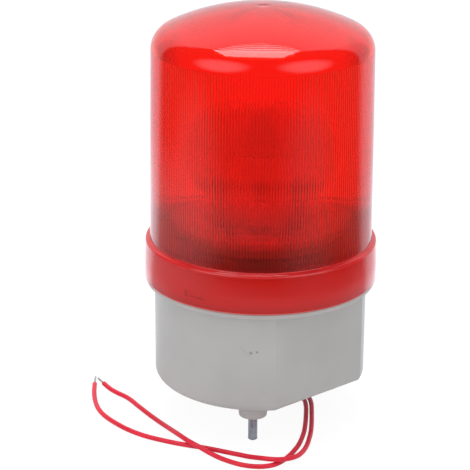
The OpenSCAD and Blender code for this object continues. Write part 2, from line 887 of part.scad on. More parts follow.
module deck() {
    color(grey)
        difference() {
            union() {
                translate([0, 0, deck_z]) cylinder(r = deck_r, h = deck_t);
                translate([0, 0, deck_top - eps]) cylinder(r = seat_r, h = seat_h + eps);
                translate([0, 0, deck_top]) cylinder(r = post_r, h = socket_up + post_h);
            }
            translate([0, 0, deck_z - eps]) cylinder(r = wire_bore_r, h = deck_t + socket_up + 2 * eps);
            translate([0, 0, socket_z]) cylinder(r = post_bore_r, h = post_h + eps);
            translate([0, 0, rotor_z + clip_gap])
                difference() {
                    cylinder(r = post_r + eps, h = clip_t);
                    translate([0, 0, -eps]) cylinder(r = clip_groove_r, h = clip_t + 2 * eps);
                }
            at_pillars() translate([0, 0, deck_z - eps]) cylinder(r = screw_hole_r, h = deck_t + 2 * eps);
            at_motor()
                translate([0, 0, deck_z - eps]) cylinder(r = motor_nose_r + nose_gap, h = deck_t + 2 * eps);
            at_motor_screws()
                translate([0, 0, deck_z - eps]) cylinder(r = small_hole_r, h = deck_t + 2 * eps);
        }
}

module deck_screws() {
    color(steel)
        at_pillars()
            translate([0, 0, deck_top])
                pan_screw(screw_r, pillar_hole_h - screw_tip_gap, screw_head_r, screw_head_h);
}

module thrust_washer() {
    color(white)
        translate([0, 0, deck_top + seat_h])
            difference() {
                cylinder(r = seat_r, h = washer_t);
                translate([0, 0, -eps]) cylinder(r = post_r + run_fit, h = washer_t + 2 * eps);
            }
}

module turntable() {
    color(white)
        difference() {
            union() {
                translate([0, 0, hub_z]) cylinder(r = hub_r, h = rotor_z - hub_z);
                translate([0, 0, disc_z]) cylinder(r = turntable_d / 2, h = turntable_t);
                translate([0, 0, ring_z])
                    rotate([0, 0, motor_a])
                        linear_extrude(height = ring_h + eps)
                            difference() {
                                polygon(gear_points(ring_teeth));
                                circle(r = ring_root_r - ring_wall);
                            }
            }
            translate([0, 0, hub_z - eps]) cylinder(r = post_r + run_fit, h = rotor_z - hub_z + 2 * eps);
            at_foot_screws()
                translate([0, 0, disc_z - eps]) cylinder(r = small_hole_r, h = turntable_t + 2 * eps);
        }
}

module retaining_ring() {
    color(steel)
        sector(
            clip_groove_r + still_fit, clip_r, rotor_z + clip_gap, rotor_z + clip_gap + clip_t,
            clip_mouth_a / 2, 360 - clip_mouth_a / 2
        );
}

module reflector_outline() {
    top = lamp_z + bowl_up;
    translate([0, top]) circle(r = reflector_r);
    polygon([
        [-reflector_r, top], [reflector_r, top],
        [bowl_foot_w, lamp_z - bowl_foot_drop], [-bowl_foot_w, lamp_z - bowl_foot_drop]
    ]);
}

module reflector() {
    span = 4 * bowl_r;
    inner = [for (k = [0 : bowl_steps]) [bowl_r * k / bowl_steps, bowl(bowl_r * k / bowl_steps)]];
    outer = [
        for (k = [bowl_steps : -1 : 0])
            [bowl_r * k / bowl_steps, bowl(bowl_r * k / bowl_steps) - vertex_t]
    ];
    color(mirror) {
        difference() {
            intersection() {
                translate([0, 0, lamp_z]) rotate([-90, 0, 0]) rotate_extrude() polygon(concat(inner, outer));
                rotate([90, 0, 0]) linear_extrude(height = span, center = true) reflector_outline();
            }
            cylinder(r = bowl_cut_r, h = cap_top);
        }
        difference() {
            union() {
                translate([-bracket_w / 2, -bracket_y - bracket_t, rotor_z])
                    cube([bracket_w, bracket_t, lamp_z + bracket_up - rotor_z]);
                translate([-foot_w / 2, -bracket_y - foot_l, rotor_z]) cube([foot_w, foot_l, foot_t]);
            }
            at_foot_screws()
                translate([0, 0, rotor_z - eps]) cylinder(r = small_hole_r, h = foot_t + 2 * eps);
        }
    }
}

module reflector_screws() {
    color(steel)
        at_foot_screws()
            translate([0, 0, rotor_z + foot_t])
                pan_screw(small_screw_r, foot_t + turntable_t, small_head_r, small_head_h);
}

// lamp and its holder

module lamp_socket() {
    slot_w = 2 * (pin_r + slot_play);
    pin_z = cap_z + pin_up;
    color(brass)
        difference() {
            translate([0, 0, socket_z]) cylinder(r = socket_r, h = socket_h);
            translate([0, 0, socket_z + socket_base_t]) cylinder(r = socket_in_r, h = socket_h);
            translate([0, 0, socket_z - eps])
                cylinder(r = button_stem_r + button_hole_gap, h = socket_base_t + 2 * eps);
            for (a = [0, 180])
                rotate([0, 0, a]) {
                    rotate([0, 0, -slot_turn_a])
                        translate([0, -slot_w / 2, pin_z - slot_w / 2])
                            cube([2 * socket_r, slot_w, socket_h]);
                    sector(
                        socket_in_r - eps, socket_r + eps, pin_z - slot_w / 2, pin_z + slot_w / 2,
                        -slot_turn_a, asin(slot_w / 2 / socket_in_r)
                    );
                }
        }
}

module contact_carrier() {
    color(black)
        translate([0, 0, carrier_z])
            difference() {
                cylinder(r = socket_in_r - socket_gap, h = carrier_t);
                translate([0, 0, -eps]) cylinder(r = button_stem_r + still_fit, h = carrier_t + 2 * eps);
            }
}

module contact_button() {
    color(brass) {
        translate([0, 0, button_z]) cylinder(r = button_r, h = button_h);
        translate([0, 0, carrier_z - button_tail])
            cylinder(r = button_stem_r, h = carrier_t + button_tail + button_h / 2);
    }
}

module contact_spring() {
    low = carrier_z - spring_h + spring_wire_d / 2;
    rise = spring_h - spring_wire_d;
    count = spring_turns * spring_steps;
    coil = [
        for (i = [0 : count])
            [
                spring_r * cos(i * 360 / spring_steps),
                spring_r * sin(i * 360 / spring_steps),
                low + rise * i / count
            ]
    ];
    color(steel) tube(coil, spring_wire_d, spring_r);
}

module lamp_cap() {
    color(brass) {
        difference() {
            translate([0, 0, cap_z]) cylinder(r = cap_r, h = cap_h);
            translate([0, 0, glass_foot_z]) cylinder(r = glass_neck_r + still_fit, h = glass_in + eps);
        }
        for (s = [-1, 1])
            translate([s * (cap_r - eps), 0, cap_z + pin_up])
                rotate([0, s * 90, 0]) cylinder(r = pin_r, h = pin_reach + eps);
    }
}

module lamp_solder() {
    color(steel)
        translate([0, 0, solder_z]) cylinder(r1 = solder_r - solder_taper, r2 = solder_r, h = solder_h);
}

module glass_profile(t) {
    intersection() {
        translate([0, lamp_z]) circle(r = globe_r - t);
        translate([0, lamp_z - globe_d]) square([globe_d, 2 * globe_d]);
    }
    translate([0, glass_foot_z]) square([glass_neck_r - t, lamp_z - glass_foot_z]);
}

module lamp_glass() {
    color(clear)
        rotate_extrude()
            difference() {
                glass_profile(0);
                glass_profile(glass_t);
            }
}

module lamp_stem() {
    color(clear)
        translate([0, 0, glass_foot_z])
            difference() {
                cylinder(r1 = glass_neck_r - glass_t - still_fit, r2 = stem_r, h = stem_h);
                for (s = [-1, 1])
                    translate([s * filament_r, 0, stem_h / 2])
                        cylinder(r = filament_rod_r + still_fit, h = stem_h);
            }
}

module lamp_filament() {
    top = glass_foot_z + stem_h + filament_rod_h;
    color(steel) {
        for (s = [-1, 1])
            translate([s * filament_r, 0, glass_foot_z + stem_h / 2])
                cylinder(r = filament_rod_r, h = stem_h / 2 + filament_rod_h);
        translate([0, 0, top])
            rotate([90, 0, 0])
                rotate_extrude(angle = 180) translate([filament_r, 0]) circle(r = filament_wire_r);
    }
}

// drive

module motor_can() {
    color(steel)
        at_motor()
            difference() {
                union() {
                    translate([0, 0, motor_z]) cylinder(r = motor_r, h = motor_h - motor_edge);
                    translate([0, 0, deck_z - motor_edge])
                        cylinder(r1 = motor_r, r2 = motor_r - motor_edge, h = motor_edge);
                    translate([0, 0, deck_z - eps]) cylinder(r = motor_nose_r, h = motor_nose_h + eps);
                }
                translate([0, 0, deck_z - shaft_in]) cylinder(r = shaft_r + run_fit, h = shaft_in + motor_h);
                for (s = [-1, 1])
                    translate([0, s * motor_screw_x, deck_z - motor_screw_in])
                        cylinder(r = small_hole_r, h = motor_screw_in + eps);
            }
}

module motor_end_cap() {
    color(black)
        at_motor()
            difference() {
                translate([0, 0, motor_z - end_cap_h])
                    cylinder(r1 = end_cap_r - end_cap_taper, r2 = end_cap_r, h = end_cap_h);
                for (s = [-1, 1])
                    translate([0, s * tab_y, motor_z - end_cap_h + (tab_seat - eps) / 2])
                        cube([tab_t + 2 * still_fit, tab_w + 2 * still_fit, tab_seat + eps], center = true);
            }
}

module motor_terminals() {
    color(brass)
        at_motor()
            for (s = [-1, 1])
                translate([0, s * tab_y, motor_z - end_cap_h + (tab_seat - tab_h) / 2])
                    cube([tab_t, tab_w, tab_h + tab_seat], center = true);
}

module motor_shaft() {
    low = deck_z - shaft_in + shaft_foot_gap;
    color(steel) at_motor() translate([0, 0, low]) cylinder(r = shaft_r, h = shaft_top - low);
}

module drive_pinion() {
    low = ring_z - pinion_over;
    color(white)
        at_motor()
            translate([0, 0, low])
                rotate([0, 0, 180 + 180 / pinion_teeth])
                    difference() {
                        linear_extrude(height = shaft_top - low) polygon(gear_points(pinion_teeth));
                        translate([0, 0, -eps])
                            cylinder(r = shaft_r + still_fit, h = shaft_top - low + 2 * eps);
                    }
}

module motor_screws() {
    color(steel)
        at_motor_screws()
            translate([0, 0, deck_top])
                pan_screw(small_screw_r, deck_t + motor_screw_in - screw_tip_gap, small_head_r, small_head_h);
}

// supply

module circuit_board() {
    color(green)
        difference() {
            translate([board_x - board_l / 2, board_y - board_w / 2, board_z])
                cube([board_l, board_w, board_t]);
            at_board_screws()
                translate([0, 0, board_z - eps]) cylinder(r = small_hole_r, h = board_t + 2 * eps);
        }
}

module board_screws() {
    color(steel)
        at_board_screws()
            translate([0, 0, board_top])
                pan_screw(small_screw_r, board_t + board_screw_l - screw_tip_gap, small_head_r, small_head_h);
}

module smoothing_capacitor() {
    color(black)
        translate([capacitor_x, capacitor_y, board_top]) {
            cylinder(r = capacitor_r, h = capacitor_h - capacitor_edge);
            translate([0, 0, capacitor_h - capacitor_edge])
                cylinder(r1 = capacitor_r, r2 = capacitor_r - capacitor_edge, h = capacitor_edge);
        }
}

module dropping_resistor() {
    z = board_top + resistor_r + leg_rise;
    color(white) {
        translate([resistor_x - resistor_l / 2, resistor_y, z])
            rotate([0, 90, 0]) cylinder(r = resistor_r, h = resistor_l);
        leg_pair(resistor_x, resistor_y, resistor_l / 2, z);
    }
}

module rectifier_diodes() {
    z = board_top + diode_r + leg_rise;
    color(black)
        for (i = [0 : diode_n - 1])
            translate([diode_x + i * diode_pitch, diode_y, 0])
                rotate([0, 0, 90]) {
                    translate([-diode_l / 2, 0, z]) rotate([0, 90, 0]) cylinder(r = diode_r, h = diode_l);
                    leg_pair(0, 0, diode_l / 2, z);
                }
}

// leads

module supply_leads() {
    color(red) {
        tube(supply_route([lead_a_x, lead_a_y], pad_a), lead_d, lead_step * lead_d);
        tube(supply_route([lead_b_x, lead_b_y], pad_b), lead_d, lead_step * lead_d);
    }
}

module lamp_leads() {
    color(red)
        for (s = [-1, 1])
            tube(
                [
                    [s * lamp_lead_x, lamp_lead_y, board_top],
                    [s * lamp_lead_x, lamp_lead_y, board_top + lamp_lead_up],
                    [
                        s * (lamp_lead_x + lamp_lead_spread),
                        lamp_lead_y - lamp_lead_bow,
                        (board_top + deck_z) / 2
                    ],
                    [s * lamp_lead_x, lamp_lead_y, deck_z],
                    [s * lamp_lead_x, lamp_lead_y, socket_z]
                ],
                inner_lead_d, lamp_lead_step * inner_lead_d
            );
}

module motor_leads() {
    low = motor_z - end_cap_h - tab_h;
    ends = [for (s = [1, -1]) motor_xy() + tab_y * s * [-sin(motor_a), cos(motor_a)]];
    pads = [motor_pad_a, motor_pad_b];
    color(red)
        for (i = [0, 1])
            tube(motor_route(pads[i], ends[i], low), inner_lead_d, motor_lead_step * inner_lead_d);
}

module lead_wire_a() {
    color(red) tube(route_a, lead_d, lead_step * lead_d);
}

module lead_wire_b() {
    color(red) tube(route_b, lead_d, lead_step * lead_d);
}

module lead_core_a() {
    color(steel) tube(core_route_a, core_d, lead_step * core_d);
}

module lead_core_b() {
    color(steel) tube(core_route_b, core_d, lead_step * core_d);
}

base_housing();
mounting_studs();
cable_grommet();
lens();
lens_gasket();
deck();
deck_screws();
thrust_washer();
turntable();
retaining_ring();
reflector();
reflector_screws();
lamp_socket();
contact_carrier();
contact_button();
contact_spring();
lamp_cap();
lamp_solder();
lamp_glass();
lamp_stem();
lamp_filament();
motor_can();
motor_end_cap();
motor_terminals();
motor_shaft();
drive_pinion();
motor_screws();
circuit_board();
board_screws();
smoothing_capacitor();
dropping_resistor();
rectifier_diodes();
supply_leads();
lamp_leads();
motor_leads();
lead_wire_a();
lead_wire_b();
lead_core_a();
lead_core_b();
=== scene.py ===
import json
import math

import bpy
from mathutils import Matrix, Vector


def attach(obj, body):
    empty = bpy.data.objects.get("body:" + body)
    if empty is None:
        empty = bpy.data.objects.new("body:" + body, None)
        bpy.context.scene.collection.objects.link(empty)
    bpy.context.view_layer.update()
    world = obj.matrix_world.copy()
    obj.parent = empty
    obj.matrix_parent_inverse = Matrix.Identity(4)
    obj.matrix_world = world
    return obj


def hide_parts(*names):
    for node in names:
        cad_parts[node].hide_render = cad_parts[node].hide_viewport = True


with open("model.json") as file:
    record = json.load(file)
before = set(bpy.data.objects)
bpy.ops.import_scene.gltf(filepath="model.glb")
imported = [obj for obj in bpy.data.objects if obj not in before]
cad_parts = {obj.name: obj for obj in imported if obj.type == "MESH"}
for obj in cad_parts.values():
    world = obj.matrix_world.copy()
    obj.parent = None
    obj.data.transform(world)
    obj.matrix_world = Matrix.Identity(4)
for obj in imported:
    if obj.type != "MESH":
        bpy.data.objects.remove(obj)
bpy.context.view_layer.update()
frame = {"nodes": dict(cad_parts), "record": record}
scene = bpy.context.scene
MM = 0.001


def srgb(code):
    """An sRGB hex colour, such as B4B3B0, in linear values with alpha."""
    parts = [int(code[i:i + 2], 16) / 255 for i in (0, 2, 4)]
    return tuple(c / 12.92 if c <= 0.04045 else ((c + 0.055) / 1.055) ** 2.4 for c in parts) + (1.0,)


def add(tree, kind, inputs=None, stops=(), **settings):
    """One new node. Settings go on the node and stops on its colour ramp.

    An input takes a socket as a link and anything else as a value.
    """
    node = tree.nodes.new(kind)
    for name, value in settings.items():
        setattr(node, name, value)
    for k, (position, code) in enumerate(stops):
        node.color_ramp.elements[k].position = position
        node.color_ramp.elements[k].color = srgb(code)
    for name, value in (inputs or {}).items():
        if isinstance(value, bpy.types.NodeSocket):
            tree.links.new(value, node.inputs[name])
        else:
            node.inputs[name].default_value = value
    return node


# Camera: a long lens a little above the light and a little to its right, as fitted to the outlines.
SENSOR = 36
aim = Vector((0, 0, 64)) * MM
reach = 0.8
climb = math.radians(21.287)
swing = math.radians(4)
roll = math.radians(0.65)
focal_px = 1822.1
half_px = 235
# where the aim lies in the picture, in pixels from its top left corner
aim_x = 260.78
aim_y = 269.94
back = Vector((math.sin(swing) * math.cos(climb), -math.cos(swing) * math.cos(climb), math.sin(climb)))
eye = aim + reach * back
look = (aim - eye).normalized()
right = Vector((math.cos(swing), math.sin(swing), 0))
up = right.cross(look)
pan = math.atan((aim_x - half_px) / focal_px)
look, right = look * math.cos(pan) - right * math.sin(pan), right * math.cos(pan) + look * math.sin(pan)
tilt = math.atan((aim_y - half_px) / focal_px * math.cos(pan))
look, up = look * math.cos(tilt) + up * math.sin(tilt), up * math.cos(tilt) - look * math.sin(tilt)
right, up = right * math.cos(roll) + up * math.sin(roll), up * math.cos(roll) - right * math.sin(roll)
camera = bpy.data.objects.new("camera", bpy.data.cameras.new("camera"))
scene.collection.objects.link(camera)
camera.data.sensor_width = SENSOR
camera.data.lens = focal_px / (2 * half_px) * SENSOR
camera.data.clip_start = 0.05
camera.matrix_world = Matrix((right, up, -look)).transposed().to_4x4()
camera.location = eye
scene.camera = camera


# Leads: they leave the grommet downwards, lie on the floor round the front and cross each other twice.
# Routes, the diameter and the longest step between points are in millimetres.
LEAD_D = 2.1
LEAD_STEP = 0.6
route_a = [
    (10.0807, 13.2287, 15.5), (10.0807, 13.2287, 12.5), (10.9, 12.6, 8.6), (12.8, 11, 4.8),
    (15.6, 8.6, 2.3), (18.4, 5.8, 1.3), (20.4, 2.2, 1.05), (21.3, -3, 1.05), (21.7, -8.6, 1.05),
    (22, -19.5, 1.05), (21.8, -30.2, 1.05), (20.5, -40.9, 1.05), (18.7, -47.8, 1.05), (16.6, -53.4, 1.05),
    (14.1, -58.2, 1.05), (11, -61.8, 1.05), (7.2, -63.7, 1.05), (3.2, -64.2, 1.05), (-0.8, -63.7, 1.05),
    (-4.8, -62.3, 1.05), (-9, -60, 1.05), (-12.9, -57.4, 1.1), (-17.3, -54.3, 1.6), (-21.3, -51.7, 2.5),
    (-24.6, -49.7, 3.15), (-27.9, -46.6, 3.35), (-31.1, -42.4, 3.15), (-34.5, -37.3, 2.5),
    (-37.9, -32, 1.7), (-42.3, -25.8, 1.15), (-46.7, -20.1, 1.05), (-53.2, -11.3, 1.05),
    (-57.3, -5.5, 1.05), (-60.6, -1.8, 1.05), (-64.5, 1.5, 1.05), (-67.8, 4.8, 1.05), (-70.3, 8.1, 1.05),
    (-72.3, 11.1, 1.05),
]
route_b = [
    (11.9193, 14.7713, 15.5), (11.9193, 14.7713, 12.5), (12.9, 14.2, 8.6), (15, 12.8, 4.8),
    (17.9, 10.6, 2.3), (20.6, 7.8, 1.3), (22.6, 4.2, 1.05), (23.7, -1.5, 1.05), (24.2, -8.4, 1.05),
    (24.7, -19.3, 1.05), (24.8, -29.9, 1.05), (24, -40.5, 1.05), (22.9, -46.5, 1.05), (21.2, -52, 1.4),
    (19, -56.4, 2.2), (16.2, -59.8, 3), (12.9, -61.4, 3.35), (9.4, -61.4, 3.35), (6, -59.7, 2.7),
    (2.8, -57.5, 1.8), (-0.6, -55.6, 1.15), (-4.4, -54.1, 1.05), (-9.6, -52.4, 1.05), (-15, -50.6, 1.05),
    (-20.4, -49, 1.05), (-26, -47.7, 1.05), (-31.6, -46.2, 1.05), (-38, -44, 1.05), (-44.4, -41.4, 1.05),
    (-49.7, -38.5, 1.05), (-55, -34.7, 1.05), (-60.1, -30, 1.05), (-64.7, -25, 1.05), (-68.2, -20.2, 1.05),
    (-70.9, -14.9, 1.05), (-72.9, -9.1, 1.05), (-74.4, -3.1, 1.05), (-75.5, 3, 1.05), (-76.4, 10.2, 1.05),
]
bare_a = [(-72.33, 11.14, 1.05), (-73.7, 13.2, 1.05), (-74.9, 15.4, 0.85), (-75.9, 17.3, 0.6)]
bare_b = [(-76.41, 10.25, 1.05), (-76.76, 13.1, 1.05), (-77.1, 16, 0.85), (-77.4, 18.8, 0.6)]


def smooth_route(points, longest):
    """Points in metres along one smooth curve through a route in millimetres."""
    p = [Vector(q) for q in points]
    out = []
    for i in range(len(p) - 1):
        a, b, c, d = p[max(i - 1, 0)], p[i], p[i + 1], p[min(i + 2, len(p) - 1)]
        n = max(1, math.ceil((c - b).length / longest))
        for t in (k / n for k in range(n)):
            out.append(0.5 * (2 * b + (c - a) * t + (2 * a - 5 * b + 4 * c - d) * t * t
                              + (3 * b - a - 3 * c + d) * t ** 3))
    return [q * MM for q in out + [p[-1]]]


def line_curve(name, points, thickness):
    """A curve object of one open spline, round and closed at its ends where it has a thickness."""
    data = bpy.data.curves.new(name, "CURVE")
    data.dimensions = "3D"
    data.bevel_depth = thickness / 2
    data.bevel_resolution = 6
    data.use_fill_caps = thickness > 0
    spline = data.splines.new("POLY")
    spline.points.add(len(points) - 1)
    for spot, co in zip(spline.points, points):
        spot.co = (*co, 1)
    spline.use_smooth = True
    piece = bpy.data.objects.new(name, data)
    scene.collection.objects.link(piece)
    return piece


leads = {}
for name, route in (("lead_a", route_a), ("lead_b", route_b)):
    line = smooth_route(route, LEAD_STEP)
    lead = line_curve(name, line, LEAD_D * MM)
    leads[name] = (lead, line[0], sum((q - p).length for p, q in zip(line, line[1:])))


def clear_pick(piece):
    """Makes this piece the one that is selected and active."""
    bpy.ops.object.select_all(action="DESELECT")
    piece.select_set(True)
    bpy.context.view_layer.objects.active = piece


def pick_points(piece, test):
    """Goes to edit mode with only the points that pass the test selected; the test gets millimetres."""
    bpy.ops.object.mode_set(mode="EDIT")
    bpy.ops.mesh.select_mode(type="VERT")
    bpy.ops.mesh.select_all(action="DESELECT")
    bpy.ops.object.mode_set(mode="OBJECT")
    for v in piece.data.vertices:
        v.select = test(v.co / MM)
    bpy.ops.object.mode_set(mode="EDIT")


def pick_faces(piece, test):
    """Goes to edit mode with only the faces whose centre passes the test selected; it gets millimetres."""
    bpy.ops.object.mode_set(mode="EDIT")
    bpy.ops.mesh.select_mode(type="FACE")
    bpy.ops.mesh.select_all(action="DESELECT")
    bpy.ops.object.mode_set(mode="OBJECT")
    for f in piece.data.polygons:
        f.select = test(f.center / MM)
    bpy.ops.object.mode_set(mode="EDIT")


def close_up(threshold):
    """Merges doubled points and turns every face outwards, then leaves edit mode."""
    bpy.ops.mesh.select_all(action="SELECT")
    bpy.ops.mesh.remove_doubles(threshold=threshold)
    bpy.ops.mesh.normals_make_consistent(inside=False)
    bpy.ops.object.mode_set(mode="OBJECT")


def apply_modifier(piece, kind, **settings):
    """Puts a modifier with these settings on a piece and applies it."""
    clear_pick(piece)
    mod = piece.modifiers.new(kind.lower(), kind)
    for name, value in settings.items():
        setattr(mod, name, value)
    bpy.ops.object.modifier_apply(modifier=mod.name)


# Lens: one line drawn along the section, from the gate over the outside and back up the inside, then spun.
# Millimetres; LENS_Z is the height of the lens's foot, and the other heights are from that foot.
LENS_Z = 64
LENS_H = 118.4
COLLAR_R = 50.25  # at the collar's top edge
COLLAR_IN = 48.05
COLLAR_H = 17
FLARE = 0.8  # how much wider the collar's foot is
FOOT_EDGE = 0.35
LEDGE_T = 2.2
EDGE_R = 1.4
FOOT_R = 48.25  # the dome where it meets the ledge
FILLET_R = 0.45
SHOULDER_X = 37.25  # from the axis to the centre of the shoulder's arc
SHOULDER_R = 10
INNER_R = 7.6  # the shoulder's arc inside
CROWN_R = 96
GATE_R = 2.8
GATE_SINK = 0.2
# Hollows and ridges of the flutes: 0.25 mm deep here and 0.45 mm in the solid, since the photo shows more
# of what lies behind them.
FLUTE_R = 45.45
RIDGE_R = 45.2
FLUTES = 228
PER_FLUTE = 4
# Bayonet lugs: from LUG_LOW to LUG_TOP, LUG_DEEP inwards, LUG_HALF degrees to each side.
LUG_LOW = 3.2
LUG_TOP = 5.6
LUG_DEEP = 1.3
LUG_HALF = 5.9
# how near a point or a face has to be to a radius to count as on it
NEAR = 0.02
NEAR_LUG = 0.05
crown_z = LENS_H - CROWN_R
shoulder_z = crown_z + math.sqrt((CROWN_R - SHOULDER_R) ** 2 - SHOULDER_X ** 2)
meet = math.atan2(shoulder_z - crown_z, SHOULDER_X)


def arc(r, z, radius, start, end, n):
    """Points of an arc in the section, about a centre at radius r and height z."""
    turns_at = [start + (end - start) * k / n for k in range(n + 1)]
    return [(r + radius * math.cos(t), z + radius * math.sin(t)) for t in turns_at]


crown_in = CROWN_R - SHOULDER_R + INNER_R
gate_edge = math.acos(GATE_R / CROWN_R)
# the sunk gate mark and its soft edge
section = [(0, LENS_H - GATE_SINK), (1.6, LENS_H - GATE_SINK), (2.0, LENS_H - 0.16), (2.5, LENS_H - 0.06)]
section += arc(0, crown_z, CROWN_R, gate_edge, meet, 20)
section += arc(SHOULDER_X, shoulder_z, SHOULDER_R, meet, 0, 20)[1:]
# down the drafted wall to the fillet on the ledge
section += [(47.506, 78.7), (47.763, 57.4), (48.02, 36.1)]
section += arc(FOOT_R + 0.43, COLLAR_H + FILLET_R, FILLET_R, math.pi, 1.5 * math.pi, 4)
section += arc(COLLAR_R - EDGE_R, COLLAR_H - EDGE_R, EDGE_R, 0.5 * math.pi, 0, 7)
section += [(COLLAR_R + FLARE / 2, 7.8), (COLLAR_R + FLARE, FOOT_EDGE), (COLLAR_R + FLARE - 0.1, 0.1),
            (COLLAR_R + FLARE - FOOT_EDGE, 0), (COLLAR_IN, 0)]
# inside: up the collar, in under the ledge, up the fluted wall and over the crown
section += [(COLLAR_IN, LUG_LOW), (COLLAR_IN, LUG_TOP)]
section += [(COLLAR_IN, COLLAR_H - LEDGE_T), (FLUTE_R, COLLAR_H - LEDGE_T)]
section += [(FLUTE_R, shoulder_z), (SHOULDER_X + INNER_R, shoulder_z)]
section += arc(SHOULDER_X, shoulder_z, INNER_R, 0, meet, 12)[1:]
section += arc(0, crown_z, crown_in, meet, 0.5 * math.pi, 10)[1:]

bpy.ops.object.select_all(action="DESELECT")
bpy.ops.mesh.primitive_plane_add(size=1)
lens = bpy.context.object
lens.name = lens.data.name = "fluted_lens"
bpy.ops.object.mode_set(mode="EDIT")
bpy.ops.mesh.merge(type="CENTER")
bpy.ops.transform.translate(value=(section[0][0] * MM, 0, (LENS_Z + section[0][1]) * MM))
for (r0, z0), (r1, z1) in zip(section, section[1:]):
    bpy.ops.mesh.extrude_region_move(TRANSFORM_OT_translate={"value": ((r1 - r0) * MM, 0, (z1 - z0) * MM)})
bpy.ops.mesh.select_all(action="SELECT")
turns = FLUTES * PER_FLUTE
bpy.ops.mesh.spin(steps=turns, angle=2 * math.pi, center=(0, 0, 0), axis=(0, 0, 1))
close_up(1e-6)


# Flutes: round hollows between sharp ridges, so the points between them draw in towards the axis.
def flute_step(co):
    """Which point of a flute this is: 0 in the hollow or off the wall, 2 on the ridge, 1 and 3 between."""
    on_wall = abs(math.hypot(co.x, co.y) - FLUTE_R) < 0.01
    return round(math.atan2(co.y, co.x) / (2 * math.pi) * turns) % PER_FLUTE if on_wall else 0


flank_r = FLUTE_R - 0.25 * (FLUTE_R - RIDGE_R)
pick_points(lens, lambda co: flute_step(co) == 2)
ridge_pull = RIDGE_R / FLUTE_R
bpy.ops.transform.resize(value=(ridge_pull, ridge_pull, 1), center_override=(0, 0, 0))
pick_points(lens, lambda co: flute_step(co) in (1, 3))
flank_pull = flank_r / FLUTE_R
bpy.ops.transform.resize(value=(flank_pull, flank_pull, 1), center_override=(0, 0, 0))


# Bayonet lugs: three short stretches of the collar's inner wall, drawn inwards.
def on_lug(centre):
    """Whether a face of the collar's inner wall lies on one of the three lugs."""
    turn = (math.degrees(math.atan2(centre.y, centre.x)) + 60) % 120 - 60
    return (abs(turn) < LUG_HALF and LUG_LOW < centre.z - LENS_Z < LUG_TOP
            and abs(math.hypot(centre.x, centre.y) - COLLAR_IN) < NEAR_LUG)


pick_faces(lens, on_lug)
bpy.ops.mesh.extrude_region_move(TRANSFORM_OT_translate={"value": (0, 0, 0)})
lug_pull = (COLLAR_IN - LUG_DEEP) / COLLAR_IN
bpy.ops.transform.resize(value=(lug_pull, lug_pull, 1), center_override=(0, 0, 0))
bpy.ops.object.mode_set(mode="OBJECT")
bpy.ops.object.shade_smooth_by_angle(angle=math.radians(38))


# Mounting studs: the section of an M4 thread, square to its axis, is one cam-shaped ring that turns once a
# pitch. Millimetres.
STUD_R = 2
PITCH = 0.7
STUD_TURNS = 18
STUD_TIP = 0.6
STUD_OUT = 12
STUD_PLACE = 36.5
SHANK_R = 2.2
HEAD_R = 3.8
HEAD_H = 2.6
FLOOR_Z = 19.8
THREAD_PTS = 18
# half the flat at the crest, from the crest to the root, and the slope of a 60 degree flank
CREST_HALF = 0.044
ROOT_REACH = 0.2625
FLANK_SLOPE = 1.732


def thread_radius(share):
    """Radius of the thread at this share of a turn from its crest."""
    from_crest = min(share, 1 - share) * PITCH
    return STUD_R - max(0.0, min(from_crest, ROOT_REACH) - CREST_HALF) * FLANK_SLOPE


bpy.ops.object.select_all(action="DESELECT")
bpy.ops.mesh.primitive_circle_add(vertices=THREAD_PTS, radius=STUD_R * MM, location=(0, 0, 0))
stud = bpy.context.object
stud.name = stud.data.name = "stud_front"
for k in range(THREAD_PTS):
    spoke = 2 * math.pi * k / THREAD_PTS
    pull = thread_radius(k / THREAD_PTS) / STUD_R
    way = Vector((math.cos(spoke), math.sin(spoke), 0))
    pick_points(stud, lambda co: (Vector((co.x, co.y, 0)).normalized() - way).length < 0.05)
    bpy.ops.transform.resize(value=(pull, pull, 1), center_override=(0, 0, 0))
bpy.ops.object.mode_set(mode="OBJECT")
apply_modifier(stud, "SCREW", axis="Z", angle=2 * math.pi, screw_offset=PITCH * MM, iterations=STUD_TURNS,
               steps=THREAD_PTS, render_steps=THREAD_PTS, use_merge_vertices=False, use_smooth_shade=True)
for level in (0, PITCH * STUD_TURNS):
    pick_points(stud, lambda co: abs(co.z - level) < 0.001)
    bpy.ops.mesh.edge_face_add()
# the tip is turned to a short cone
for k in range(THREAD_PTS):
    level = k * PITCH / THREAD_PTS
    limit = STUD_R - STUD_TIP + level
    pick_points(stud, lambda co: abs(co.z - level) < 0.001 and math.hypot(co.x, co.y) > limit)
    if stud.data.total_vert_sel:
        pull = limit / (STUD_R - 0.1)
        bpy.ops.transform.resize(value=(pull, pull, 1), center_override=(0, 0, 0))
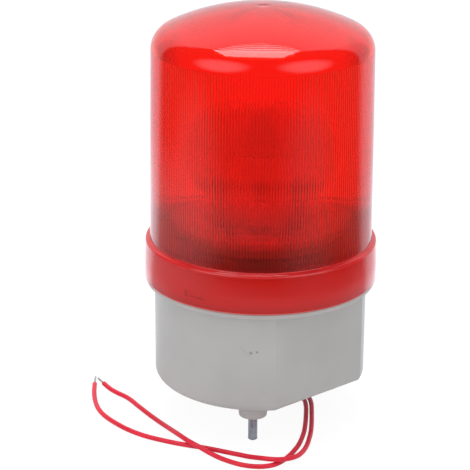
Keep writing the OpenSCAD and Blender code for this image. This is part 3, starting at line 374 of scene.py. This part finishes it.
# shank in the boss and six-sided head on the floor of the base
bpy.ops.mesh.primitive_cylinder_add(vertices=32, radius=SHANK_R * MM, depth=(FLOOR_Z + 0.5 - STUD_OUT) * MM,
                                    location=(0, 0, (FLOOR_Z + 0.5 + STUD_OUT) / 2 * MM))
bpy.ops.mesh.primitive_cylinder_add(vertices=6, radius=HEAD_R * MM, depth=HEAD_H * MM,
                                    location=(0, 0, (FLOOR_Z + HEAD_H / 2) * MM))
bpy.ops.mesh.select_mode(type="EDGE")
bpy.ops.mesh.bevel(offset=0.3 * MM, segments=2, affect="EDGES")
bpy.ops.mesh.select_all(action="SELECT")
bpy.ops.mesh.normals_make_consistent(inside=False)
bpy.ops.transform.translate(value=(0, -STUD_PLACE * MM, 0))
bpy.ops.object.mode_set(mode="OBJECT")
bpy.ops.object.shade_smooth_by_angle(angle=math.radians(48))
studs = [stud]
for name, turn in (("stud_right", 120), ("stud_left", 240)):
    clear_pick(stud)
    bpy.ops.object.duplicate(linked=False)
    twin = bpy.context.object
    twin.name = twin.data.name = name
    bpy.ops.object.mode_set(mode="EDIT")
    bpy.ops.mesh.select_all(action="SELECT")
    bpy.ops.transform.rotate(value=-math.radians(turn), orient_axis="Z", center_override=(0, 0, 0))
    bpy.ops.object.mode_set(mode="OBJECT")
    studs.append(twin)


# Bared ends: seven tinned strands, six of them twisted round the middle one.
STRAND_R = 0.15 * MM
STRAND_LAY = 0.3 * MM
STRAND_PITCH = 7 * MM
BARE_STEP = 0.3
BARE_RINGS = 24


def bared_end(name, points):
    """One bared end along a route, built straight and then bent."""
    line = smooth_route(points, BARE_STEP)
    length = sum((q - p).length for p, q in zip(line, line[1:]))
    bpy.ops.object.select_all(action="DESELECT")
    bpy.ops.mesh.primitive_circle_add(vertices=8, radius=STRAND_R, fill_type="NGON",
                                      location=(STRAND_LAY, 0, 0))
    piece = bpy.context.object
    piece.name = piece.data.name = name
    bpy.ops.object.transform_apply(location=True)
    bpy.ops.object.mode_set(mode="EDIT")
    for k in range(5):
        bpy.ops.mesh.duplicate()
        bpy.ops.transform.rotate(value=math.radians(60), orient_axis="Z", center_override=(0, 0, 0))
    bpy.ops.mesh.primitive_circle_add(vertices=8, radius=STRAND_R, fill_type="NGON", location=(0, 0, 0))
    bpy.ops.mesh.select_all(action="SELECT")
    for k in range(BARE_RINGS):
        bpy.ops.mesh.extrude_region_move(TRANSFORM_OT_translate={"value": (0, 0, length / BARE_RINGS)})
        bpy.ops.transform.rotate(value=2 * math.pi * length / STRAND_PITCH / BARE_RINGS, orient_axis="Z",
                                 center_override=(0, 0, 0))
    close_up(1e-7)
    bpy.ops.object.shade_smooth_by_angle(angle=math.radians(50))
    guide = line_curve(name + "_guide", line, 0)
    guide.data.twist_mode = "MINIMUM"
    apply_modifier(piece, "CURVE", object=guide, deform_axis="POS_Z")
    bpy.data.objects.remove(guide)
    return piece


bared_a = bared_end("bared_end_a", bare_a)
bared_b = bared_end("bared_end_b", bare_b)


# Materials
def new_material(name):
    """A new material, its empty node tree with an output, and the Object coordinates."""
    mat = bpy.data.materials.new(name)
    mat.use_nodes = True
    tree = mat.node_tree
    tree.nodes.clear()
    out = add(tree, "ShaderNodeOutputMaterial")
    coord = add(tree, "ShaderNodeTexCoord").outputs["Object"]
    return mat, tree, out, coord


def per_mm(size):
    """Noise scale, in metres, whose features are about this many millimetres across."""
    return 1 / (size * MM)


def per_wave(pitch):
    """Wave scale, in metres, whose lines lie this many millimetres apart."""
    return 2 * math.pi / (20 * pitch * MM)


scene_materials = {}

# grey ABS, moulded with a fine spark texture: soft wide sheen and slight clouding, with three pits and one
# scratch in front. The grain is drawn coarser than real, to show at all.
mat, tree, out, coord = new_material("grey_abs_moulded")
cloud = add(tree, "ShaderNodeTexNoise", {"Vector": coord, "Scale": per_mm(28), "Detail": 2.0})
grain = add(tree, "ShaderNodeTexNoise", {"Vector": coord, "Scale": per_mm(0.7), "Detail": 3.0})
tone = add(tree, "ShaderNodeValToRGB", {"Fac": cloud.outputs["Fac"]},
           stops=((0.3, "AEADAB"), (0.7, "B6B5B3")))
scratch_place = add(tree, "ShaderNodeMapping", {
    "Vector": coord, "Location": Vector((-2.8, -46.1, 45.1)) * MM, "Rotation": (0, math.radians(46.7), 0),
    "Scale": Vector((4.6, 4, 0.3)) * MM}, vector_type="TEXTURE")
scratch_reach = add(tree, "ShaderNodeVectorMath", {0: scratch_place.outputs["Vector"]}, operation="LENGTH")
marks = add(tree, "ShaderNodeMapRange", {
    "Value": scratch_reach.outputs["Value"], "From Min": 0.3, "From Max": 1.0,
    "To Min": 0.45, "To Max": 0.0})
mark = marks.outputs["Result"]
# centre and reach of each pit, in millimetres
PITS = (((-0.4, -46.3, 44.6), 0.95), ((2.2, -46.25, 45.1), 0.75), ((11.2, -44.92, 52.2), 0.5))
for centre, size in PITS:
    away = add(tree, "ShaderNodeVectorMath", {0: coord, 1: Vector(centre) * MM}, operation="DISTANCE")
    pit = add(tree, "ShaderNodeMapRange", {
        "Value": away.outputs["Value"], "From Min": 0.4 * size * MM, "From Max": size * MM,
        "To Min": 1.0, "To Max": 0.0})
    deepest = add(tree, "ShaderNodeMath", {0: mark, 1: pit.outputs["Result"]}, operation="MAXIMUM")
    mark = deepest.outputs["Value"]
shade = add(tree, "ShaderNodeMix", {0: mark, 6: tone.outputs["Color"], 7: srgb("8E8C8A")}, data_type="RGBA")
gloss = add(tree, "ShaderNodeMapRange", {"Value": grain.outputs["Fac"], "To Min": 0.38, "To Max": 0.5})
bump = add(tree, "ShaderNodeBump", {
    "Height": grain.outputs["Fac"], "Strength": 0.12, "Distance": 0.05 * MM})
skin = add(tree, "ShaderNodeBsdfPrincipled", {
    "Base Color": shade.outputs[2], "Roughness": gloss.outputs["Result"], "IOR": 1.53,
    "Normal": bump.outputs["Normal"]})
tree.links.new(skin.outputs["BSDF"], out.inputs["Surface"])
scene_materials["grey_abs"] = mat

# red acrylic, moulded and polished: clear deep red with a little haze, sharp reflections and turning rings
# on the crown
mat, tree, out, coord = new_material("red_acrylic_polished")
rings = add(tree, "ShaderNodeTexWave", {
    "Vector": coord, "Scale": per_wave(1.15), "Distortion": 0.0},
    wave_type="RINGS", rings_direction="Z", wave_profile="SIN")
place = add(tree, "ShaderNodeSeparateXYZ", {"Vector": coord})
on_crown = add(tree, "ShaderNodeMapRange", {
    "Value": place.outputs["Z"], "From Min": 0.170, "From Max": 0.174, "To Min": 0.0, "To Max": 1.0})
ring_height = add(tree, "ShaderNodeMath", {0: rings.outputs["Fac"], 1: on_crown.outputs["Result"]},
                  operation="MULTIPLY")
bump = add(tree, "ShaderNodeBump", {
    "Height": ring_height.outputs["Value"], "Strength": 0.8, "Distance": 0.018 * MM})
skin = add(tree, "ShaderNodeBsdfPrincipled", {
    "Base Color": srgb("FF4226"), "Roughness": 0.02, "IOR": 1.49, "Transmission Weight": 0.95,
    "Normal": bump.outputs["Normal"]})
tree.links.new(skin.outputs["BSDF"], out.inputs["Surface"])
scene_materials["red_lens"] = mat

# red acrylic as left by the turned core inside the collar: satin with level lines, drawn coarser than real,
# so the neck hardly shows
mat, tree, out, coord = new_material("red_acrylic_satin")
lines = add(tree, "ShaderNodeTexWave", {
    "Vector": coord, "Scale": per_wave(1.3), "Distortion": 0.6, "Detail": 1.0},
    wave_type="BANDS", bands_direction="Z", wave_profile="SIN")
tone = add(tree, "ShaderNodeValToRGB", {"Fac": lines.outputs["Fac"]},
           stops=((0.0, "F93A26"), (1.0, "FF4630")))
skin = add(tree, "ShaderNodeBsdfPrincipled", {
    "Base Color": tone.outputs["Color"], "Roughness": 0.5, "IOR": 1.49, "Transmission Weight": 0.15})
tree.links.new(skin.outputs["BSDF"], out.inputs["Surface"])
satin_red = mat

# red acrylic where it is thick, at the ledge and edge of the collar: polished, but too deep to see through
mat, tree, out, coord = new_material("red_acrylic_thick")
haze = add(tree, "ShaderNodeTexNoise", {"Vector": coord, "Scale": per_mm(6), "Detail": 1.0})
tone = add(tree, "ShaderNodeValToRGB", {"Fac": haze.outputs["Fac"]},
           stops=((0.3, "E22A2C"), (0.7, "EC3232")))
skin = add(tree, "ShaderNodeBsdfPrincipled", {
    "Base Color": tone.outputs["Color"], "Roughness": 0.04, "IOR": 1.49, "Transmission Weight": 0.25})
tree.links.new(skin.outputs["BSDF"], out.inputs["Surface"])
thick_red = mat

# red acrylic of the fluted wall inside: clear, a shade deeper along each ridge, where the wall is thickest
mat, tree, out, coord = new_material("red_acrylic_fluted")
turn = add(tree, "ShaderNodeTexGradient", {"Vector": coord}, gradient_type="RADIAL")
phase = add(tree, "ShaderNodeMath", {0: turn.outputs["Fac"], 1: 2 * math.pi * FLUTES}, operation="MULTIPLY")
swell = add(tree, "ShaderNodeMath", {0: phase.outputs["Value"]}, operation="COSINE")
depth = add(tree, "ShaderNodeMapRange", {
    "Value": swell.outputs["Value"], "From Min": -1.0, "From Max": -0.5})
tone = add(tree, "ShaderNodeValToRGB", {"Fac": depth.outputs["Result"]},
           stops=((0.0, "E83A24"), (1.0, "FF4A2A")))
skin = add(tree, "ShaderNodeBsdfPrincipled", {
    "Base Color": tone.outputs["Color"], "Roughness": 0.02, "IOR": 1.49, "Transmission Weight": 0.98})
tree.links.new(skin.outputs["BSDF"], out.inputs["Surface"])
fluted_red = mat

# zinc plated steel: bright grey metal with a faint clouded passivation and a fine drawn grain
mat, tree, out, coord = new_material("zinc_plated_steel")
cloud = add(tree, "ShaderNodeTexNoise", {"Vector": coord, "Scale": per_mm(3), "Detail": 3.0})
tone = add(tree, "ShaderNodeValToRGB", {"Fac": cloud.outputs["Fac"]},
           stops=((0.3, "8E9095"), (0.7, "A8AAB0")))
gloss = add(tree, "ShaderNodeMapRange", {"Value": cloud.outputs["Fac"], "To Min": 0.22, "To Max": 0.36})
skin = add(tree, "ShaderNodeBsdfPrincipled", {
    "Base Color": tone.outputs["Color"], "Metallic": 1.0, "Roughness": gloss.outputs["Result"]})
tree.links.new(skin.outputs["BSDF"], out.inputs["Surface"])
scene_materials["zinc_steel"] = mat

# spring steel, drawn bright: long fine lines along the axis, coarser than real
mat, tree, out, coord = new_material("spring_steel_drawn")
stretch = add(tree, "ShaderNodeMapping", {
    "Vector": coord, "Scale": (per_mm(0.15), per_mm(0.15), per_mm(4))})
grain = add(tree, "ShaderNodeTexNoise", {"Vector": stretch.outputs["Vector"], "Scale": 1.0, "Detail": 2.0})
tone = add(tree, "ShaderNodeValToRGB", {"Fac": grain.outputs["Fac"]},
           stops=((0.3, "8E9094"), (0.7, "B2B4B8")))
gloss = add(tree, "ShaderNodeMapRange", {"Value": grain.outputs["Fac"], "To Min": 0.2, "To Max": 0.32})
skin = add(tree, "ShaderNodeBsdfPrincipled", {
    "Base Color": tone.outputs["Color"], "Metallic": 1.0, "Roughness": gloss.outputs["Result"]})
tree.links.new(skin.outputs["BSDF"], out.inputs["Surface"])
scene_materials["spring_steel"] = mat

# black rubber, moulded: dull, nearly black, with a dusty grain, coarser than real
mat, tree, out, coord = new_material("black_rubber_moulded")
grain = add(tree, "ShaderNodeTexNoise", {"Vector": coord, "Scale": per_mm(0.4), "Detail": 3.0})
tone = add(tree, "ShaderNodeValToRGB", {"Fac": grain.outputs["Fac"]},
           stops=((0.35, "161616"), (0.75, "262525")))
bump = add(tree, "ShaderNodeBump", {"Height": grain.outputs["Fac"], "Strength": 0.4, "Distance": 0.08 * MM})
skin = add(tree, "ShaderNodeBsdfPrincipled", {
    "Base Color": tone.outputs["Color"], "Roughness": 0.68, "IOR": 1.52, "Normal": bump.outputs["Normal"]})
tree.links.new(skin.outputs["BSDF"], out.inputs["Surface"])
scene_materials["black_rubber"] = mat

# white silicone, moulded: milky and satin, a little dust
mat, tree, out, coord = new_material("white_silicone_moulded")
dust = add(tree, "ShaderNodeTexNoise", {"Vector": coord, "Scale": per_mm(1.5), "Detail": 4.0})
tone = add(tree, "ShaderNodeValToRGB", {"Fac": dust.outputs["Fac"]},
           stops=((0.3, "E4E2DC"), (0.75, "D6D3CC")))
skin = add(tree, "ShaderNodeBsdfPrincipled", {
    "Base Color": tone.outputs["Color"], "Roughness": 0.5, "IOR": 1.41})
tree.links.new(skin.outputs["BSDF"], out.inputs["Surface"])
scene_materials["white_silicone"] = mat

# white acetal, moulded: waxy white with slow flow marks and a soft sheen
mat, tree, out, coord = new_material("white_acetal_moulded")
flow = add(tree, "ShaderNodeTexNoise", {
    "Vector": coord, "Scale": per_mm(12), "Detail": 2.0, "Distortion": 1.5})
tone = add(tree, "ShaderNodeValToRGB", {"Fac": flow.outputs["Fac"]},
           stops=((0.3, "E4E3DE"), (0.7, "EFEEEA")))
gloss = add(tree, "ShaderNodeMapRange", {"Value": flow.outputs["Fac"], "To Min": 0.28, "To Max": 0.4})
skin = add(tree, "ShaderNodeBsdfPrincipled", {
    "Base Color": tone.outputs["Color"], "Roughness": gloss.outputs["Result"], "IOR": 1.48})
tree.links.new(skin.outputs["BSDF"], out.inputs["Surface"])
scene_materials["white_acetal"] = mat

# metallised plastic of the reflector: bright, with soft reflections and a faint orange peel
mat, tree, out, coord = new_material("metallised_reflector_bright")
peel = add(tree, "ShaderNodeTexNoise", {"Vector": coord, "Scale": per_mm(1.8), "Detail": 1.0})
tone = add(tree, "ShaderNodeValToRGB", {"Fac": peel.outputs["Fac"]},
           stops=((0.3, "DADBDD"), (0.7, "E8E9EB")))
bump = add(tree, "ShaderNodeBump", {"Height": peel.outputs["Fac"], "Strength": 0.3, "Distance": 0.01 * MM})
skin = add(tree, "ShaderNodeBsdfPrincipled", {
    "Base Color": tone.outputs["Color"], "Metallic": 1.0, "Roughness": 0.34,
    "Normal": bump.outputs["Normal"]})
tree.links.new(skin.outputs["BSDF"], out.inputs["Surface"])
scene_materials["bright_reflector"] = mat

# brass, drawn: warm yellow metal with patches of tarnish
mat, tree, out, coord = new_material("brass_drawn")
tarnish = add(tree, "ShaderNodeTexNoise", {"Vector": coord, "Scale": per_mm(5), "Detail": 4.0})
tone = add(tree, "ShaderNodeValToRGB", {"Fac": tarnish.outputs["Fac"]},
           stops=((0.35, "A9843F"), (0.65, "CDA85C")))
gloss = add(tree, "ShaderNodeMapRange", {"Value": tarnish.outputs["Fac"], "To Min": 0.38, "To Max": 0.2})
skin = add(tree, "ShaderNodeBsdfPrincipled", {
    "Base Color": tone.outputs["Color"], "Metallic": 1.0, "Roughness": gloss.outputs["Result"]})
tree.links.new(skin.outputs["BSDF"], out.inputs["Surface"])
scene_materials["brass"] = mat

# black phenolic, moulded: brown-black with pale filler specks, half dull
mat, tree, out, coord = new_material("black_phenolic_moulded")
filler = add(tree, "ShaderNodeTexVoronoi", {"Vector": coord, "Scale": per_mm(0.8)})
tone = add(tree, "ShaderNodeValToRGB", {"Fac": filler.outputs["Distance"]},
           stops=((0.05, "2E2A26"), (0.3, "191716")))
skin = add(tree, "ShaderNodeBsdfPrincipled", {
    "Base Color": tone.outputs["Color"], "Roughness": 0.45, "IOR": 1.6})
tree.links.new(skin.outputs["BSDF"], out.inputs["Surface"])
scene_materials["black_phenolic"] = mat

# tinned copper strands: pale grey metal, uneven where the tin ran
mat, tree, out, coord = new_material("copper_tinned")
tin = add(tree, "ShaderNodeTexNoise", {"Vector": coord, "Scale": per_mm(0.8), "Detail": 2.0})
tone = add(tree, "ShaderNodeValToRGB", {"Fac": tin.outputs["Fac"]},
           stops=((0.3, "B4B0A8"), (0.7, "D6D3CC")))
gloss = add(tree, "ShaderNodeMapRange", {"Value": tin.outputs["Fac"], "To Min": 0.25, "To Max": 0.42})
skin = add(tree, "ShaderNodeBsdfPrincipled", {
    "Base Color": tone.outputs["Color"], "Metallic": 1.0, "Roughness": gloss.outputs["Result"]})
tree.links.new(skin.outputs["BSDF"], out.inputs["Surface"])
scene_materials["tinned_copper"] = mat

# tungsten wire, drawn: dark grey metal with a grain drawn coarser than real, to show at all
mat, tree, out, coord = new_material("tungsten_drawn")
grain = add(tree, "ShaderNodeTexNoise", {"Vector": coord, "Scale": per_mm(0.3), "Detail": 2.0})
tone = add(tree, "ShaderNodeValToRGB", {"Fac": grain.outputs["Fac"]},
           stops=((0.3, "4C4C50"), (0.7, "6A6A6E")))
skin = add(tree, "ShaderNodeBsdfPrincipled", {
    "Base Color": tone.outputs["Color"], "Metallic": 1.0, "Roughness": 0.38})
tree.links.new(skin.outputs["BSDF"], out.inputs["Surface"])
scene_materials["tungsten"] = mat

# green glass-cloth laminate under lacquer: the weave shows as a faint square pattern, coarser than real
mat, tree, out, coord = new_material("green_laminate_lacquered")
warp = add(tree, "ShaderNodeTexWave", {"Vector": coord, "Scale": per_wave(0.9)},
           wave_type="BANDS", bands_direction="X")
weft = add(tree, "ShaderNodeTexWave", {"Vector": coord, "Scale": per_wave(0.9)},
           wave_type="BANDS", bands_direction="Y")
weave = add(tree, "ShaderNodeMath", {0: warp.outputs["Fac"], 1: weft.outputs["Fac"]}, operation="MULTIPLY")
tone = add(tree, "ShaderNodeValToRGB", {"Fac": weave.outputs["Value"]},
           stops=((0.0, "1E5A30"), (1.0, "2C7440")))
skin = add(tree, "ShaderNodeBsdfPrincipled", {
    "Base Color": tone.outputs["Color"], "Roughness": 0.4, "IOR": 1.55,
    "Coat Weight": 0.4, "Coat Roughness": 0.15})
tree.links.new(skin.outputs["BSDF"], out.inputs["Surface"])
scene_materials["green_laminate"] = mat

# black sleeve, shrunk on: blue-black and glossy with slight creases along it
mat, tree, out, coord = new_material("black_sleeve_shrunk")
stretch = add(tree, "ShaderNodeMapping", {
    "Vector": coord, "Scale": (per_mm(1.2), per_mm(1.2), per_mm(9))})
crease = add(tree, "ShaderNodeTexNoise", {"Vector": stretch.outputs["Vector"], "Scale": 1.0, "Detail": 1.0})
tone = add(tree, "ShaderNodeValToRGB", {"Fac": crease.outputs["Fac"]},
           stops=((0.3, "0F0F19"), (0.7, "191928")))
bump = add(tree, "ShaderNodeBump", {
    "Height": crease.outputs["Fac"], "Strength": 0.4, "Distance": 0.06 * MM})
skin = add(tree, "ShaderNodeBsdfPrincipled", {
    "Base Color": tone.outputs["Color"], "Roughness": 0.3, "IOR": 1.53, "Normal": bump.outputs["Normal"]})
tree.links.new(skin.outputs["BSDF"], out.inputs["Surface"])
scene_materials["black_sleeve"] = mat

# white ceramic, unglazed: chalky, with a gritty skin
mat, tree, out, coord = new_material("white_ceramic_unglazed")
grit = add(tree, "ShaderNodeTexNoise", {"Vector": coord, "Scale": per_mm(0.35), "Detail": 4.0})
tone = add(tree, "ShaderNodeValToRGB", {"Fac": grit.outputs["Fac"]},
           stops=((0.3, "D6D3CA"), (0.7, "E8E5DE")))
bump = add(tree, "ShaderNodeBump", {"Height": grit.outputs["Fac"], "Strength": 0.5, "Distance": 0.08 * MM})
skin = add(tree, "ShaderNodeBsdfPrincipled", {
    "Base Color": tone.outputs["Color"], "Roughness": 0.72, "IOR": 1.6, "Normal": bump.outputs["Normal"]})
tree.links.new(skin.outputs["BSDF"], out.inputs["Surface"])
scene_materials["white_ceramic"] = mat

# red PVC, extruded: even bright red with a soft highlight along the top and slow changes of shade
mat, tree, out, coord = new_material("red_pvc_extruded")
cloud = add(tree, "ShaderNodeTexNoise", {"Vector": coord, "Scale": per_mm(9), "Detail": 2.0})
grain = add(tree, "ShaderNodeTexNoise", {"Vector": coord, "Scale": per_mm(0.5), "Detail": 2.0})
tone = add(tree, "ShaderNodeValToRGB", {"Fac": cloud.outputs["Fac"]},
           stops=((0.3, "DC1430"), (0.7, "E8203C")))
gloss = add(tree, "ShaderNodeMapRange", {"Value": grain.outputs["Fac"], "To Min": 0.3, "To Max": 0.45})
skin = add(tree, "ShaderNodeBsdfPrincipled", {
    "Base Color": tone.outputs["Color"], "Roughness": gloss.outputs["Result"], "IOR": 1.44})
tree.links.new(skin.outputs["BSDF"], out.inputs["Surface"])
scene_materials["red_pvc"] = mat

# soda glass of the lamp, blown: clear with a faint waviness
mat, tree, out, coord = new_material("lamp_glass_blown")
wave = add(tree, "ShaderNodeTexNoise", {"Vector": coord, "Scale": per_mm(6), "Detail": 1.0})
bump = add(tree, "ShaderNodeBump", {"Height": wave.outputs["Fac"], "Strength": 0.2, "Distance": 0.05 * MM})
skin = add(tree, "ShaderNodeBsdfPrincipled", {
    "Base Color": srgb("FBFDFC"), "Roughness": 0.01, "IOR": 1.51, "Transmission Weight": 1.0,
    "Normal": bump.outputs["Normal"]})
tree.links.new(skin.outputs["BSDF"], out.inputs["Surface"])
scene_materials["lamp_glass"] = mat

slots = {part["node"]: part["material_slot"] for part in frame["record"]["subparts"]}
for node, obj in frame["nodes"].items():
    obj.data.materials.clear()
    obj.data.materials.append(scene_materials[slots[node]])


def finish_piece(piece, slot_name, body, *nodes):
    """Gives a piece its material and says which body it rides and which nodes it stands for."""
    piece.data.materials.clear()
    piece.data.materials.append(scene_materials[slot_name])
    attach(piece, body)
    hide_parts(*nodes)


finish_piece(lens, "red_lens", "lens_cover", "lens")
lens.data.materials.append(satin_red)
lens.data.materials.append(thick_red)
lens.data.materials.append(fluted_red)
clear_pick(lens)
# the satin wall inside the collar and its foot
pick_faces(lens, lambda centre: centre.z < LENS_Z + 0.3
           or centre.z < LENS_Z + COLLAR_H - LEDGE_T + 0.01
           and math.hypot(centre.x, centre.y) < COLLAR_IN + NEAR)
lens.active_material_index = 1
bpy.ops.object.material_slot_assign()
# the thick ledge and its rounded edge
pick_faces(lens, lambda centre: -EDGE_R < centre.z - LENS_Z - COLLAR_H < 0.4
           and math.hypot(centre.x, centre.y) > FOOT_R - NEAR)
lens.active_material_index = 2
bpy.ops.object.material_slot_assign()
# the fluted wall
pick_faces(lens, lambda centre: COLLAR_H - LEDGE_T + NEAR < centre.z - LENS_Z < shoulder_z - 0.01
           and math.hypot(centre.x, centre.y) < FLUTE_R + NEAR)
lens.active_material_index = 3
bpy.ops.object.material_slot_assign()
bpy.ops.object.mode_set(mode="OBJECT")
for one in studs:
    finish_piece(one, "zinc_steel", "housing", "mounting_studs")
finish_piece(leads["lead_a"][0], "red_pvc", "housing", "lead_wire_a")
finish_piece(leads["lead_b"][0], "red_pvc", "housing", "lead_wire_b")
finish_piece(bared_a, "tinned_copper", "housing", "lead_core_a")
finish_piece(bared_b, "tinned_copper", "housing", "lead_core_b")
for name, bared in (("lead_a", bared_a), ("lead_b", bared_b)):
    lead, start, length = leads[name]

# Floor: white to the eye and through the lens. Light falls on pale paper, and glossy surfaces see instead a
# painted glow on it, bright near the part and behind it with painted pools of light, and dim far off. A
# pool has a centre, an inner and outer radius and a level.
FLOOR_WHITE = 0.93
THROUGH_WHITE = 1.0
POOLS = (((-0.06, 0.0, 0), 0.2, 0.46, 0.65), ((-0.42, -0.2, 0), 0.04, 0.3, 0.4),
         ((0.36, -0.3, 0), 0.04, 0.3, 0.3))
mat, tree, out, coord = new_material("white_paper_floor")
path = add(tree, "ShaderNodeLightPath")
fibre = add(tree, "ShaderNodeTexNoise", {"Vector": coord, "Scale": per_mm(2), "Detail": 2.0})
tone = add(tree, "ShaderNodeValToRGB", {"Fac": fibre.outputs["Fac"]},
           stops=((0.0, "ECECEC"), (1.0, "F2F2F2")))
paper = add(tree, "ShaderNodeBsdfDiffuse", {"Color": tone.outputs["Color"]})
faint = add(tree, "ShaderNodeBsdfDiffuse", {"Color": (0.1, 0.1, 0.1, 1)})
shine = add(tree, "ShaderNodeMix", {
    "Factor": path.outputs["Is Transmission Ray"], "A": FLOOR_WHITE, "B": THROUGH_WHITE}, data_type="FLOAT")
glow = add(tree, "ShaderNodeEmission", {"Color": (1, 1, 1, 1), "Strength": shine.outputs["Result"]})
lit = add(tree, "ShaderNodeAddShader", {0: faint.outputs["BSDF"], 1: glow.outputs["Emission"]})
behind = add(tree, "ShaderNodeVectorMath", {0: coord}, operation="NORMALIZE")
behind = add(tree, "ShaderNodeSeparateXYZ", {"Vector": behind.outputs["Vector"]})
behind = add(tree, "ShaderNodeMapRange", {
    "Value": behind.outputs["Y"], "From Min": 0.36, "From Max": 0.6, "To Min": 0.14, "To Max": 1.0},
    interpolation_type="SMOOTHSTEP")
pools = behind.outputs["Result"]
for centre, inner, outer, strength in POOLS:
    away = add(tree, "ShaderNodeVectorMath", {0: coord, 1: centre}, operation="DISTANCE")
    pool = add(tree, "ShaderNodeMapRange", {
        "Value": away.outputs["Value"], "From Min": inner, "From Max": outer,
        "To Min": strength, "To Max": 0.0}, interpolation_type="SMOOTHSTEP")
    pools = add(tree, "ShaderNodeMath", {0: pool.outputs["Result"], 1: pools}, operation="ADD")
    pools = pools.outputs["Value"]
# painted reflection of light: glossy rays see this painted glow and its painted pools of light, not the
# light that falls on the paper
painted_floor_glow = add(tree, "ShaderNodeEmission", {"Color": srgb("F3F6FF"), "Strength": pools})
unseen = add(tree, "ShaderNodeMixShader", {
    "Fac": path.outputs["Is Glossy Ray"], 1: paper.outputs["BSDF"], 2: painted_floor_glow.outputs["Emission"]})
seen = add(tree, "ShaderNodeMath", {
    0: path.outputs["Is Camera Ray"], 1: path.outputs["Is Transmission Ray"]}, operation="MAXIMUM")
choice = add(tree, "ShaderNodeMixShader", {
    "Fac": seen.outputs["Value"], 1: unseen.outputs["Shader"], 2: lit.outputs["Shader"]})
tree.links.new(choice.outputs["Shader"], out.inputs["Surface"])
bpy.ops.object.select_all(action="DESELECT")
bpy.ops.mesh.primitive_grid_add(x_subdivisions=8, y_subdivisions=8, size=6, location=(0, 0, 0))
floor = bpy.context.object
floor.name = "floor"
floor.data.materials.append(mat)

# World: white to the eye and through the lens all round. The light is even, a little stronger from the
# left, and glossy surfaces see a white sweep behind, a dim room in front and two soft windows.
ROOM_LEVEL = 0.13
LEFT_LEVEL = 0.98
RIGHT_LEVEL = 0.75
WINDOWS = (((-0.601, -0.668, 0.438), 1.9), ((0.708, -0.553, 0.438), 1.8))
world = bpy.data.worlds.new("studio")
scene.world = world
world.use_nodes = True
tree = world.node_tree
tree.nodes.clear()
out = add(tree, "ShaderNodeOutputWorld")
path = add(tree, "ShaderNodeLightPath")
heading = add(tree, "ShaderNodeTexCoord").outputs["Generated"]
way = add(tree, "ShaderNodeSeparateXYZ", {"Vector": heading})
sweep_edge = add(tree, "ShaderNodeMapRange", {
    "Value": way.outputs["Y"], "From Min": 0.41, "From Max": 0.51, "To Min": 0.0, "To Max": 1.0},
    interpolation_type="SMOOTHSTEP")
sweep_level = add(tree, "ShaderNodeMapRange", {
    "Value": way.outputs["Z"], "From Min": 0.4, "From Max": 0.75, "To Min": 0.8, "To Max": 1.0},
    interpolation_type="SMOOTHSTEP")
sweep = add(tree, "ShaderNodeMath", {0: sweep_edge.outputs["Result"], 1: sweep_level.outputs["Result"]},
            operation="MULTIPLY")
room = add(tree, "ShaderNodeMath", {0: sweep.outputs["Value"], 1: ROOM_LEVEL}, operation="ADD")
room = room.outputs["Value"]
for window, strength in WINDOWS:
    near = add(tree, "ShaderNodeVectorMath", {0: heading, 1: window}, operation="DOT_PRODUCT")
    glow = add(tree, "ShaderNodeMapRange", {
        "Value": near.outputs["Value"], "From Min": 0.84, "From Max": 0.99,
        "To Min": 0.0, "To Max": strength}, interpolation_type="SMOOTHSTEP")
    room = add(tree, "ShaderNodeMath", {0: room, 1: glow.outputs["Result"]}, operation="ADD")
    room = room.outputs["Value"]
even = add(tree, "ShaderNodeMapRange", {
    "Value": way.outputs["X"], "From Min": -1.0, "From Max": 1.0,
    "To Min": LEFT_LEVEL, "To Max": RIGHT_LEVEL})
level = add(tree, "ShaderNodeMix", {
    "Factor": path.outputs["Is Glossy Ray"], "A": even.outputs["Result"], "B": room}, data_type="FLOAT")
level = add(tree, "ShaderNodeMix", {
    "Factor": path.outputs["Is Transmission Ray"], "A": level.outputs["Result"], "B": THROUGH_WHITE},
    data_type="FLOAT")
level = add(tree, "ShaderNodeMix", {
    "Factor": path.outputs["Is Camera Ray"], "A": level.outputs["Result"], "B": 1.0}, data_type="FLOAT")
tint = add(tree, "ShaderNodeMix", {
    0: path.outputs["Is Glossy Ray"], 6: (1, 1, 1, 1), 7: srgb("F6F8FF")}, data_type="RGBA")
sky = add(tree, "ShaderNodeBackground", {"Color": tint.outputs[2], "Strength": level.outputs["Result"]})
tree.links.new(sky.outputs["Background"], out.inputs["Surface"])

# Softbox overhead, a little behind the light: it gives the bright crescent on the shoulder and the line
# along the ledge
data = bpy.data.lights.new("softbox", "AREA")
data.shape = "RECTANGLE"
data.size = 0.8
data.size_y = 0.75
data.energy = 10.8
data.color = srgb("F8FAFF")[:3]
softbox = bpy.data.objects.new("softbox", data)
scene.collection.objects.link(softbox)
softbox.location = (-0.11, 0.205, 1.37)

scene.view_settings.view_transform = "Standard"
